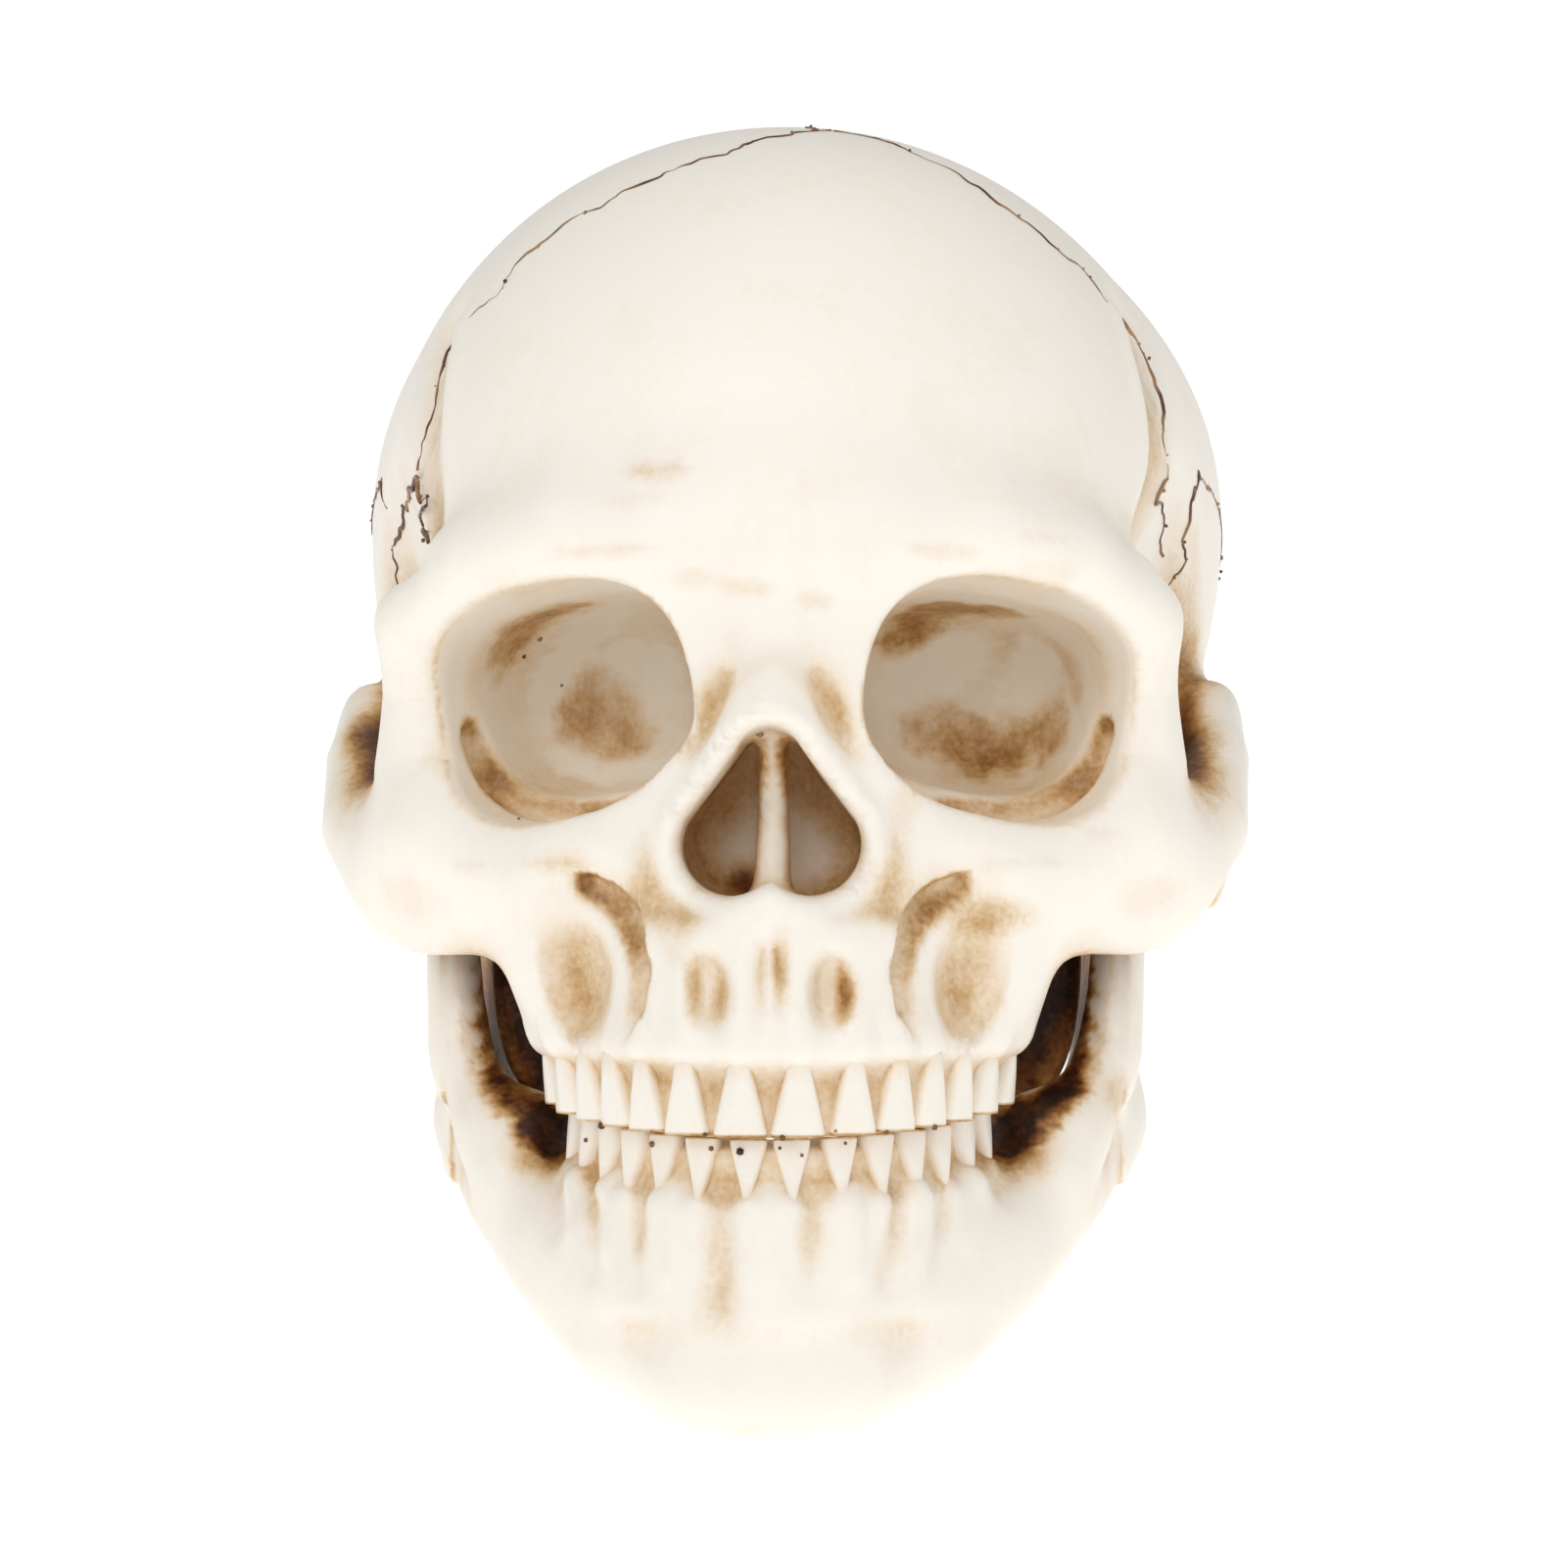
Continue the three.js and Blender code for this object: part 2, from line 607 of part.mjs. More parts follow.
// The hollow inside the braincase
function brainHollow([px, y, z]) {
  const p = [Math.abs(px), y, z];
  const socket = mass(form.socketHollow, p, socketPower);
  const sockets = Math.min(socket, mass(form.socketBowl, p, socketPower));
  const d = carve(braincase(p), sockets, soft.base);
  return Math.max(d + wallThickness, wallThickness - noseHollow(p));
}

// Even steps no longer than a cell
function steps(from, to, cell) {
  const count = Math.ceil((to - from) / cell);
  return Array.from({ length: count + 1 }, (_, i) => from + ((to - from) * i) / count);
}

// Reads the facets off a blended form: one corner in each cell that the surface crosses, moved
// onto the surface, and a pair of facets across each crossed edge
function facetsOf(field, [xs, ys, zs]) {
  const [nx, ny, nz] = [xs.length, ys.length, zs.length];
  const at = (i, j, k) => (i * ny + j) * nz + k;
  const value = filled(sampled(field, [xs, ys, zs], at), at, [nx, ny, nz]);

  const corners = [];
  const cornerOf = new Int32Array(nx * ny * nz).fill(-1);
  for (let i = 0; i + 1 < nx; i++)
    for (let j = 0; j + 1 < ny; j++)
      for (let k = 0; k + 1 < nz; k++) {
        const crossing = cellCrossing(value, at, [xs, ys, zs], i, j, k);
        if (!crossing) continue;
        cornerOf[at(i, j, k)] = corners.length;
        corners.push(onSurface(field, crossing.middle, crossing.reach));
      }

  const facets = [];
  const quad = (a, b, c, d, inside) => {
    const [p, q, r, s] = [a, b, c, d].map((cell) => cornerOf[cell]);
    const first = distance(corners[p], corners[r]) < distance(corners[q], corners[s]);
    const pair = first ? [[p, q, r], [p, r, s]] : [[p, q, s], [q, r, s]];
    for (const [u, v, w] of pair) facets.push(...(inside ? [u, v, w] : [u, w, v]));
  };
  for (let i = 1; i + 1 < nx; i++)
    for (let j = 1; j + 1 < ny; j++)
      for (let k = 1; k + 1 < nz; k++) {
        const here = value[at(i, j, k)] < 0;
        if (here !== value[at(i + 1, j, k)] < 0)
          quad(at(i, j - 1, k - 1), at(i, j, k - 1), at(i, j, k), at(i, j - 1, k), here);
        if (here !== value[at(i, j + 1, k)] < 0)
          quad(at(i - 1, j, k - 1), at(i - 1, j, k), at(i, j, k), at(i, j, k - 1), here);
        if (here !== value[at(i, j, k + 1)] < 0)
          quad(at(i - 1, j - 1, k), at(i, j - 1, k), at(i, j, k), at(i - 1, j, k), here);
      }
  return { corners, facets };
}

// The form's value at each point of a grid; a block of points that lies well clear of the
// surface is read once, at its middle
function sampled(field, [xs, ys, zs], at) {
  const value = new Float64Array(xs.length * ys.length * zs.length);
  for (let i = 0; i < xs.length; i += blockCount)
    for (let j = 0; j < ys.length; j += blockCount)
      for (let k = 0; k < zs.length; k += blockCount) {
        const parts = [xs, ys, zs].map((places, n) => {
          const first = [i, j, k][n];
          return places.slice(first, first + blockCount);
        });
        const middle = parts.map((part) => (part[0] + part.at(-1)) / 2);
        const across = Math.hypot(...parts.map((part) => part.at(-1) - part[0]));
        const whole = field(middle);
        const clear = Math.abs(whole) > across;
        for (let a = 0; a < parts[0].length; a++)
          for (let b = 0; b < parts[1].length; b++)
            for (let c = 0; c < parts[2].length; c++)
              value[at(i + a, j + b, k + c)] = clear
                ? whole
                : field([parts[0][a], parts[1][b], parts[2][c]]);
      }
  return value;
}

// Fills the points where the form would only touch itself from corner to corner of a square, so
// that no edge of the facets is shared by more than two
function filled(value, at, [nx, ny, nz]) {
  const fill = (a, b, c, d) => {
    const inside = value[a] < 0;
    if (value[c] < 0 !== inside || value[b] < 0 === inside || value[d] < 0 === inside) return 0;
    const [p, q] = inside ? [b, d] : [a, c];
    const nearer = value[p] < value[q] ? p : q;
    value[nearer] = -value[nearer];
    return 1;
  };
  let count = 1;
  while (count > 0) {
    count = 0;
    for (let i = 0; i + 1 < nx; i++)
      for (let j = 0; j + 1 < ny; j++)
        for (let k = 0; k + 1 < nz; k++) {
          const [here, x, y, z] = [at(i, j, k), at(i + 1, j, k), at(i, j + 1, k), at(i, j, k + 1)];
          count += fill(here, x, at(i + 1, j + 1, k), y);
          count += fill(here, y, at(i, j + 1, k + 1), z);
          count += fill(here, z, at(i + 1, j, k + 1), x);
        }
  }
  return value;
}

function distance(a, b) {
  return Math.hypot(a[0] - b[0], a[1] - b[1], a[2] - b[2]);
}

// The middle of the places where the surface crosses a cell's edges
function cellCrossing(value, at, [xs, ys, zs], i, j, k) {
  const sum = [0, 0, 0];
  let count = 0;
  const tally = (a, b) => {
    const va = value[at(...a)];
    const vb = value[at(...b)];
    if (va < 0 === vb < 0) return;
    const t = va / (va - vb);
    const from = [xs[a[0]], ys[a[1]], zs[a[2]]];
    const to = [xs[b[0]], ys[b[1]], zs[b[2]]];
    for (let n = 0; n < 3; n++) sum[n] += from[n] + t * (to[n] - from[n]);
    count++;
  };
  for (const u of [0, 1])
    for (const v of [0, 1]) {
      tally([i, j + u, k + v], [i + 1, j + u, k + v]);
      tally([i + u, j, k + v], [i + u, j + 1, k + v]);
      tally([i + u, j + v, k], [i + u, j + v, k + 1]);
    }
  if (!count) return null;
  const reach = Math.min(xs[i + 1] - xs[i], ys[j + 1] - ys[j], zs[k + 1] - zs[k]) / 2;
  return { middle: sum.map((s) => s / count), reach };
}

// Moves a point along the form's slope onto its surface, no further than the reach
function onSurface(field, start, reach) {
  const nudge = reach * nudgeShare;
  let p = start;
  for (let round = 0; round < surfaceRounds; round++) {
    const d = field(p);
    const slope = p.map((_, n) => {
      const ahead = p.map((v, m) => (m === n ? v + nudge : v));
      const behind = p.map((v, m) => (m === n ? v - nudge : v));
      return (field(ahead) - field(behind)) / (2 * nudge);
    });
    const steep = slope[0] ** 2 + slope[1] ** 2 + slope[2] ** 2;
    if (steep === 0) break;
    const next = p.map((v, n) => v - (d * slope[n]) / Math.max(steep, leastSlopeShare));
    if (distance(next, start) > reach) break;
    p = next;
  }
  return p;
}

// Thins the facets where the bone is smooth: draws in the edges that change the surface least
function thinned({ corners, facets }, wanted) {
  const places = corners.map((c) => [...c]);
  let faces = [];
  for (let i = 0; i < facets.length; i += 3) faces.push(facets.slice(i, i + 3));
  const planes = places.map(() => new Float64Array(10));
  for (const face of faces) {
    const [nx, ny, nz] = faceNormal(places, face);
    const area = Math.hypot(nx, ny, nz);
    if (area === 0) continue;
    const [a, b, c] = [nx / area, ny / area, nz / area];
    const [x, y, z] = places[face[0]];
    const d = -(a * x + b * y + c * z);
    const terms = [a * a, a * b, a * c, a * d, b * b, b * c, b * d, c * c, c * d, d * d];
    for (const corner of face) terms.forEach((term, n) => (planes[corner][n] += term * area));
  }
  while (faces.length > wanted) {
    const before = faces.length;
    faces = thinOnce(places, planes, faces, wanted);
    if (faces.length === before) break;
  }
  const kept = [...new Set(faces.flat())];
  const index = new Map(kept.map((corner, n) => [corner, n]));
  return { corners: kept.map((c) => places[c]), facets: faces.flat().map((c) => index.get(c)) };
}

function faceNormal(places, [p, q, r]) {
  const [a, b, c] = [places[p], places[q], places[r]];
  const u = [b[0] - a[0], b[1] - a[1], b[2] - a[2]];
  const v = [c[0] - a[0], c[1] - a[1], c[2] - a[2]];
  return [u[1] * v[2] - u[2] * v[1], u[2] * v[0] - u[0] * v[2], u[0] * v[1] - u[1] * v[0]];
}

// How far a place lies from the planes gathered at an edge's two ends
function strain(one, other, [x, y, z]) {
  const q = one.map((v, n) => v + other[n]);
  const crossed = q[1] * x * y + q[2] * x * z + q[3] * x + q[5] * y * z + q[6] * y + q[8] * z;
  return q[0] * x * x + q[4] * y * y + q[7] * z * z + q[9] + 2 * crossed;
}

// One round of thinning, over edges that don't touch each other
function thinOnce(places, planes, faces, wanted) {
  const around = places.map(() => []);
  faces.forEach((face, n) => face.forEach((corner) => around[corner].push(n)));
  const edges = [];
  for (const [p, q, r] of faces)
    for (const [a, b] of [[p, q], [q, r], [r, p]]) {
      if (a > b) continue;
      const middle = places[a].map((v, n) => (v + places[b][n]) / 2);
      const [cost, place] = [places[a], places[b], middle]
        .map((at) => [strain(planes[a], planes[b], at), at])
        .reduce((best, next) => (next[0] < best[0] ? next : best));
      const long = distance(places[a], places[b]);
      edges.push({ a, b, place, cost: cost + lengthShare * long ** 4 });
    }
  edges.sort((one, other) => one.cost - other.cost);

  const still = new Uint8Array(places.length).fill(1);
  const gone = new Set();
  const limit = Math.max(faces.length * (1 - thinningShare), wanted);
  for (const { a, b, place } of edges) {
    if (faces.length - gone.size <= limit) break;
    if (!still[a] || !still[b]) continue;
    const nextTo = (corner) => new Set(around[corner].flatMap((n) => faces[n]));
    const [nearA, nearB] = [nextTo(a), nextTo(b)];
    if ([...nearA].filter((corner) => nearB.has(corner)).length !== 4) continue;
    const turns = [...around[a], ...around[b]].some((n) => {
      if (faces[n].includes(a) && faces[n].includes(b)) return false;
      const old = faceNormal(places, faces[n]);
      const moved = { ...faces[n].map((corner) => (corner === a || corner === b ? place : places[corner])) };
      const fresh = faceNormal(moved, [0, 1, 2]);
      const along = old[0] * fresh[0] + old[1] * fresh[1] + old[2] * fresh[2];
      return along <= turnShare * Math.hypot(...old) * Math.hypot(...fresh);
    });
    if (turns) continue;
    places[a] = place;
    planes[a] = planes[a].map((v, n) => v + planes[b][n]);
    for (const n of around[b]) {
      if (faces[n].includes(a)) gone.add(n);
      faces[n] = faces[n].map((corner) => (corner === b ? a : corner));
    }
    for (const corner of [...nearA, ...nearB]) still[corner] = 0;
  }
  return faces.filter((_, n) => !gone.has(n));
}

// From the bone's upright pose to the standing pose
const tilt = THREE.MathUtils.degToRad(tiltDegrees);
function stand([x, y, z]) {
  return [x, z * Math.sin(tilt) - y * Math.cos(tilt), z * Math.cos(tilt) + y * Math.sin(tilt)];
}

const wasm = await Module();
wasm.setup();

// A closed solid from corners in the bone's pose; the standing pose mirrors it, so each facet
// is turned round
function boneSolid({ corners, facets }) {
  const vertProperties = new Float32Array(corners.flatMap(stand));
  const triVerts = new Uint32Array(facets.length);
  for (let i = 0; i < facets.length; i += 3) {
    triVerts[i] = facets[i];
    triVerts[i + 1] = facets[i + 2];
    triVerts[i + 2] = facets[i + 1];
  }
  return new wasm.Manifold(new wasm.Mesh({ numProp: 3, vertProperties, triVerts }));
}

// A closed solid from a three.js geometry in the standing pose
function solidOf(geometry) {
  const plain = geometry.clone();
  plain.deleteAttribute("normal");
  plain.deleteAttribute("uv");
  const merged = mergeVertices(plain);
  return new wasm.Manifold(
    new wasm.Mesh({
      numProp: 3,
      vertProperties: new Float32Array(merged.attributes.position.array),
      triVerts: new Uint32Array(merged.index.array),
    }),
  );
}

// One crown with its root, as rings of corners from the root to the biting edge
function toothSolid(row, teethShare, side, rootGum, edgeGap) {
  const [turnShare, width, depth, edgeDepth] = teethShare;
  const turn = (turnShare * Math.PI) / 2;
  const across = row.across * socketBreadth;
  const forward = row.forward * baseLength;
  const middle = [across * Math.sin(turn), row.middle * baseLength + forward * Math.cos(turn)];
  const out = [Math.sin(turn) / across, Math.cos(turn) / forward];
  const long = Math.hypot(...out);
  const normal = [out[0] / long, out[1] / long];
  const root = slopingHeight(rootGum, middle[1]);
  const edge = slopingHeight(biteShares, middle[1]) + edgeGap;
  const corners = [];
  for (const [rise, spread, thin] of crownShares)
    for (const [u, v] of crownOutlineShares) {
      const wide = row.neck + (1 - row.neck) * spread;
      const halfWidth = ((width * girth - toothGap) / 2) * wide;
      const halfDepth = ((depth + (edgeDepth - depth) * thin) * girth) / 2;
      const front = row.half * girth * (1 - crownSetShare * thin) - halfDepth;
      const outward = front + v * halfDepth;
      const x = middle[0] + normal[0] * outward + normal[1] * u * halfWidth;
      const y = middle[1] + normal[1] * outward - normal[0] * u * halfWidth;
      corners.push([side * x, y, root + (edge - root) * rise]);
    }
  const ring = crownOutlineShares.length;
  const facets = [];
  const turned = side * Math.sign(edge - root) > 0;
  const face = (a, b, c) => facets.push(...(turned ? [a, b, c] : [a, c, b]));
  for (let level = 0; level + 1 < crownShares.length; level++)
    for (let n = 0; n < ring; n++) {
      const a = level * ring + n;
      const b = level * ring + ((n + 1) % ring);
      face(a, b, b + ring);
      face(a, b + ring, a + ring);
    }
  const last = (crownShares.length - 1) * ring;
  for (let n = 1; n + 1 < ring; n++) {
    face(0, n + 1, n);
    face(last, last + n, last + n + 1);
  }
  return boneSolid({ corners, facets });
}

// Both sides of a row of teeth joined to the bone
function withTeeth(bone, row, teethShares, rootGum, edgeGap) {
  let solid = bone;
  for (const side of [-1, 1])
    for (const share of teethShares)
      solid = solid.add(toothSolid(row, share, side, rootGum, edgeGap));
  return solid;
}

// A turned piece across the skull, at the jaw's pivot on one side
function turned(side, inner, outer, diameter) {
  const length = outer - inner;
  const [x, y, z] = stand([side * (inner + length / 2), pivot[1], pivot[2]]);
  return new THREE.CylinderGeometry(diameter / 2, diameter / 2, length, turnSides)
    .rotateZ(Math.PI / 2)
    .translate(x, y, z);
}

// A round hole for a turned piece, wide enough for its facets
function hole(side, inner, outer, diameter) {
  const wide = (diameter + 2 * seatGap) / Math.cos(Math.PI / turnSides);
  return solidOf(turned(side, inner, outer, wide));
}

// Grids that are fine round the face and coarse over the vault, with a spare cell all round
function craniumGrid() {
  const { across, back, faceBack, front, bottom, faceTop, top } = craniumReachShares;
  return [
    spared(steps(-across * socketBreadth, across * socketBreadth, faceCell), faceCell),
    spared(
      [
        ...steps(back * baseLength, faceBack * baseLength, vaultCell).slice(0, -1),
        ...steps(faceBack * baseLength, front * baseLength, faceCell),
      ],
      vaultCell,
    ),
    spared(
      [
        ...steps(bottom * faceHeight, faceTop * faceHeight, faceCell).slice(0, -1),
        ...steps(faceTop * faceHeight, top * faceHeight, vaultCell),
      ],
      vaultCell,
    ),
  ];
}

function evenGrid({ across, back, front, bottom, top }, cell) {
  return [
    spared(steps(-across * socketBreadth, across * socketBreadth, cell), cell),
    spared(steps(back * baseLength, front * baseLength, cell), cell),
    spared(steps(bottom * faceHeight, top * faceHeight, cell), cell),
  ];
}

function spared(places, cell) {
  return [places[0] - cell, ...places, places.at(-1) + cell];
}

// The cranium: bone and teeth, less the hollow, the hole under it and the seats for the pins
function craniumSolid() {
  let solid = boneSolid(thinned(facetsOf(cranium, craniumGrid()), craniumFacets));
  solid = withTeeth(solid, upperRowShares, upperTeethShares, upperGumShares, biteGap / 2);
  solid = solid.subtract(boneSolid(thinned(facetsOf(brainHollow, evenGrid(hollowReachShares, hollowCell)), hollowFacets)));
  const hollowDepth = foramenDepthShare * faceHeight;
  const foramen = new THREE.CylinderGeometry(foramenWidth / 2, foramenWidth / 2, hollowDepth, turnSides)
    .rotateX(Math.PI / 2)
    .scale(1, foramenLength / foramenWidth, 1)
    .rotateX(tilt);
  foramen.translate(...stand([0, foramenPlaceShares[1] * baseLength, foramenPlaceShares[2] * faceHeight]));
  solid = solid.subtract(solidOf(foramen));
  for (const side of [-1, 1]) {
    solid = solid.subtract(hole(side, pinInnerEnd - seatGap, plugOuterEnd, pinDiameter));
    solid = solid.subtract(hole(side, pinOuterEnd, plugOuterEnd + overrun, plugDiameter));
  }
  return solid;
}

// The jaw: bone and teeth, less the bores for the sleeves
function jawSolid() {
  let solid = boneSolid(thinned(facetsOf(jaw, evenGrid(jawReachShares, faceCell)), jawFacets));
  solid = withTeeth(solid, lowerRowShares, lowerTeethShares, lowerGumShares, -biteGap / 2);
  for (const side of [-1, 1])
    solid = solid.subtract(
      hole(side, pivot[0] - halfCondyle - overrun, pivot[0] + halfCondyle + overrun, bushDiameter),
    );
  return solid;
}

// A sleeve in a condyle, with its bore for the pin
function bushSolid(side) {
  const outer = solidOf(turned(side, pivot[0] - halfCondyle, pivot[0] + halfCondyle, bushDiameter));
  return outer.subtract(
    hole(side, pivot[0] - halfCondyle - overrun, pivot[0] + halfCondyle + overrun, pinDiameter),
  );
}

function geometryOf(solid) {
  const { vertProperties, triVerts } = solid.getMesh();
  const geometry = new THREE.BufferGeometry();
  geometry.setAttribute("position", new THREE.BufferAttribute(new Float32Array(vertProperties), 3));
  geometry.setIndex(new THREE.BufferAttribute(new Uint32Array(triVerts), 1));
  geometry.computeVertexNormals();
  return geometry;
}

function lowest(solid) {
  return solid.boundingBox().min[2];
}

// Everything below a height
function below(height) {
  const size = groundShare * girth;
  return solidOf(new THREE.BoxGeometry(size, size, size).translate(0, 0, height - size / 2));
}

function build() {
  const whole = { cranium: craniumSolid(), mandible: jawSolid() };
  const ground = Math.max(lowest(whole.cranium), lowest(whole.mandible)) + standDepth;
  const cranium = whole.cranium.subtract(below(ground));
  const mandible = whole.mandible.subtract(below(ground));
  const front = Math.min(cranium.boundingBox().min[1], mandible.boundingBox().min[1]);
  const back = Math.max(cranium.boundingBox().max[1], mandible.boundingBox().max[1]);

  const pieces = new THREE.Group();
  const piece = (name, geometry, finish) => {
    const mesh = new THREE.Mesh(geometry, new THREE.MeshStandardMaterial(finish));
    mesh.name = name;
    pieces.add(mesh);
  };
  piece("cranium", geometryOf(cranium), BONE);
  piece("mandible", geometryOf(mandible), BONE);
  for (const [side, word] of [[-1, "left"], [1, "right"]]) {
    piece(`jaw_pin_${word}`, turned(side, pinInnerEnd, pinOuterEnd, pinDiameter), STEEL);
    piece(`condyle_bush_${word}`, geometryOf(bushSolid(side)), SLEEVE);
    piece(`pin_plug_${word}`, turned(side, pinOuterEnd + seatGap, plugOuterEnd, plugDiameter), BONE);
  }
  pieces.position.set(0, -(front + back) / 2, -ground);
  const skull = new THREE.Group();
  skull.name = "skull";
  skull.add(pieces);
  skull.userData = { tilt: tiltDegrees, shift: pieces.position.toArray(), pivot: stand(pivot) };
  return skull;
}

export default build();
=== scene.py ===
# %% [markdown]
# # A cast-resin skull, dressed in Blender
# The real object is a life-size resin casting of a human skull. It is painted ivory, then
# brushed with a thin brown wash that is wiped off again, so that the brown stays in the hollows,
# round the teeth and in the sutures. The jaw is taken as a second casting, hinged on two hidden
# pins, which the photograph can't show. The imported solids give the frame, the joint and every
# overall size. This file gives the bone its fine surface, its teeth, its sutures and its paint.

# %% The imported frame
import json
import math

import bpy
import numpy as np
from mathutils.bvhtree import BVHTree
from mathutils import Matrix, Vector


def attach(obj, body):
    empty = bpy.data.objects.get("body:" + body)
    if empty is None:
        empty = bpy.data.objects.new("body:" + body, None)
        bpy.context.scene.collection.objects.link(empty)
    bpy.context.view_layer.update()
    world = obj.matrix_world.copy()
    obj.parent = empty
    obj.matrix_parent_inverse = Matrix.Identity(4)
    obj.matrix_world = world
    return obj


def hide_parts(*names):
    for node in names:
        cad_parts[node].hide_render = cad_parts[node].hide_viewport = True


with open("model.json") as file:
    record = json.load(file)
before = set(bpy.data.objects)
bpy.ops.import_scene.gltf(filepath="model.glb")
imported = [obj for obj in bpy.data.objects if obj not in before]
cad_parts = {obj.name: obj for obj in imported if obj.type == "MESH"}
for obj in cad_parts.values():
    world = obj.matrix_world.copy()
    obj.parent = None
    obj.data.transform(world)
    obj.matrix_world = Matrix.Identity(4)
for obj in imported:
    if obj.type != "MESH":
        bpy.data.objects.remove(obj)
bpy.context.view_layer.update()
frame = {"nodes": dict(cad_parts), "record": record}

print("nodes:", sorted(frame["nodes"]))

# %% [markdown]
# ## Two poses
# Bone is easiest to draw upright: across, forward out of the face, and up from the ear line, in
# millimetres. The finished skull leans back on its occiput and chin. The jaw's hinge is known in
# both poses, so it ties them together: the lean and the hinge's place give every other place.

# %% From the upright pose to the frame
MM = 0.001
LEAN = math.radians(24.0)
HINGE = np.array([54.0, 13.0, -7.0])  # the right condyle, upright
TO_FRAME = np.array([
    [1.0, 0.0, 0.0],
    [0.0, -math.cos(LEAN), math.sin(LEAN)],
    [0.0, math.sin(LEAN), math.cos(LEAN)],
])
hinge_m = np.array(frame["record"]["behaviour"]["joints"][0]["pos_m"])
SHIFT = hinge_m - TO_FRAME @ (HINGE * [0.0, 1.0, 1.0]) * MM


def stand(points):
    """Upright millimetres to metres in the frame."""
    return np.asarray(points) @ TO_FRAME.T * MM + SHIFT


print("hinge in the frame:", np.round(stand(HINGE), 4))

# %% [markdown]
# ## Forms that blend
# Bone has no edges to extrude and no profile to turn, and its parts run into each other. A
# sculptor adds lumps of clay and smooths the joins. The same can be written down: a form is a
# function that gives each point's distance from its surface, or nearly, and below zero inside.
# Two forms join with a soft valley, and one hollows another with a soft edge. It comes out the
# same each time, and it can be read at any fineness.

# %% Lumps, rods, joins and cuts
# How softly each kind of join or cut runs over, in millimetres
SOFT = {
    "vault": 22.0, "base": 14.0, "face": 12.0, "rim": 7.0, "edge": 3.0, "fine": 2.0, "crisp": 1.3,
}
TINY = 1e-9  # keeps a division by nearly nothing safe


def mass(p, shape, power=2.0):
    """An ellipsoid: middle, half sizes, turn and roll in degrees; squarer where power is over 2."""
    x, y, z, across, forward, up, turn, roll = (*shape, 0)[:8]
    cos, sin = math.cos(math.radians(turn)), math.sin(math.radians(turn))
    dx, dy, dz = p[0] - x, p[1] - y, p[2] - z
    u, v, w = dx * cos + dy * sin, dy * cos - dx * sin, dz
    cos, sin = math.cos(math.radians(roll)), math.sin(math.radians(roll))
    u, v, w = np.abs(u * cos - w * sin), np.abs(v), np.abs(u * sin + w * cos)
    reach = ((u / across) ** power + (v / forward) ** power + (w / up) ** power) ** (1 / power)
    slope = np.sqrt((u / across**2) ** 2 + (v / forward**2) ** 2 + (w / up**2) ** 2)
    return reach * (reach - 1) / np.maximum(slope, TINY)


def rod(p, knots):
    """A bar of changing thickness through its knots, each a place and a radius."""
    nearest = np.full(np.shape(p[0]), np.inf)
    for (ax, ay, az, ar), (bx, by, bz, br) in zip(knots, knots[1:]):
        ux, uy, uz = bx - ax, by - ay, bz - az
        dx, dy, dz = p[0] - ax, p[1] - ay, p[2] - az
        t = np.clip((dx * ux + dy * uy + dz * uz) / (ux * ux + uy * uy + uz * uz), 0, 1)
        gap = np.sqrt((dx - t * ux) ** 2 + (dy - t * uy) ** 2 + (dz - t * uz) ** 2)
        nearest = np.minimum(nearest, gap - ar - t * (br - ar))
    return nearest


def blend(a, b, softness):
    overlap = np.maximum(softness - np.abs(a - b), 0) / softness
    return np.minimum(a, b) - overlap * overlap * softness / 4


def carve(a, b, softness):
    return -blend(-a, b, softness)


def joined(d, p, softness, *shapes):
    """Blends more shapes onto a form: lists of knots are rods, and the others are masses."""
    for shape in shapes:
        more = rod(p, shape) if isinstance(shape, list) else mass(p, shape)
        d = blend(d, more, SOFT[softness])
    return d


def dented(d, p, softness, *shapes):
    for shape in shapes:
        d = carve(d, mass(p, shape), SOFT[softness])
    return d


def drum(p, middle, radius, half_length, rounding):
    """A short drum that lies across the skull."""
    outward = np.hypot(p[1] - middle[1], p[2] - middle[2]) - radius + rounding
    along = np.abs(p[0] - middle[0]) - half_length + rounding
    outside = np.hypot(np.maximum(outward, 0), np.maximum(along, 0))
    return outside + np.minimum(np.maximum(outward, along), 0) - rounding


def block(p, low, high):
    over = [np.maximum(low[n] - p[n], p[n] - high[n]) for n in range(3)]
    outside = np.sqrt(sum(np.maximum(v, 0) ** 2 for v in over))
    return outside + np.minimum(np.maximum(np.maximum(over[0], over[1]), over[2]), 0)


# %% [markdown]
# ## The braincase
# Rounded lumps make the egg of the braincase, and a shallow hollow at each temple gives the
# forehead its waist. Sizes are upright millimetres, taken from an adult skull's usual measures
# and then set against the outline in the photograph.

# %% Braincase
VAULT = (0, -15, 41.5, 69.5, 83, 64.9, 0)
FOREHEAD = (0, 42, 43, 53, 51, 53.5, 0)
OCCIPUT = (0, -60, 24, 57, 41, 43, 0)
UNDERBRAIN = (0, -20, 0, 46, 60, 27, 0)
CEREBELLUM = (23, -56, -6, 27, 30, 19, 0)
PARIETAL = (31.5, -34, 54, 33, 40, 31, 0)
TEMPLE = (66, 42, 10, 19, 24, 32, 0)
SKULL_BASE = (0, 22, -8, 22, 34, 16, 0)
VAULT_POWER = 2.17


def braincase(p):
    d = joined(mass(p, VAULT, VAULT_POWER), p, "vault", FOREHEAD, OCCIPUT, PARIETAL)
    d = joined(d, p, "base", UNDERBRAIN, CEREBELLUM)
    return dented(d, p, "base", TEMPLE)


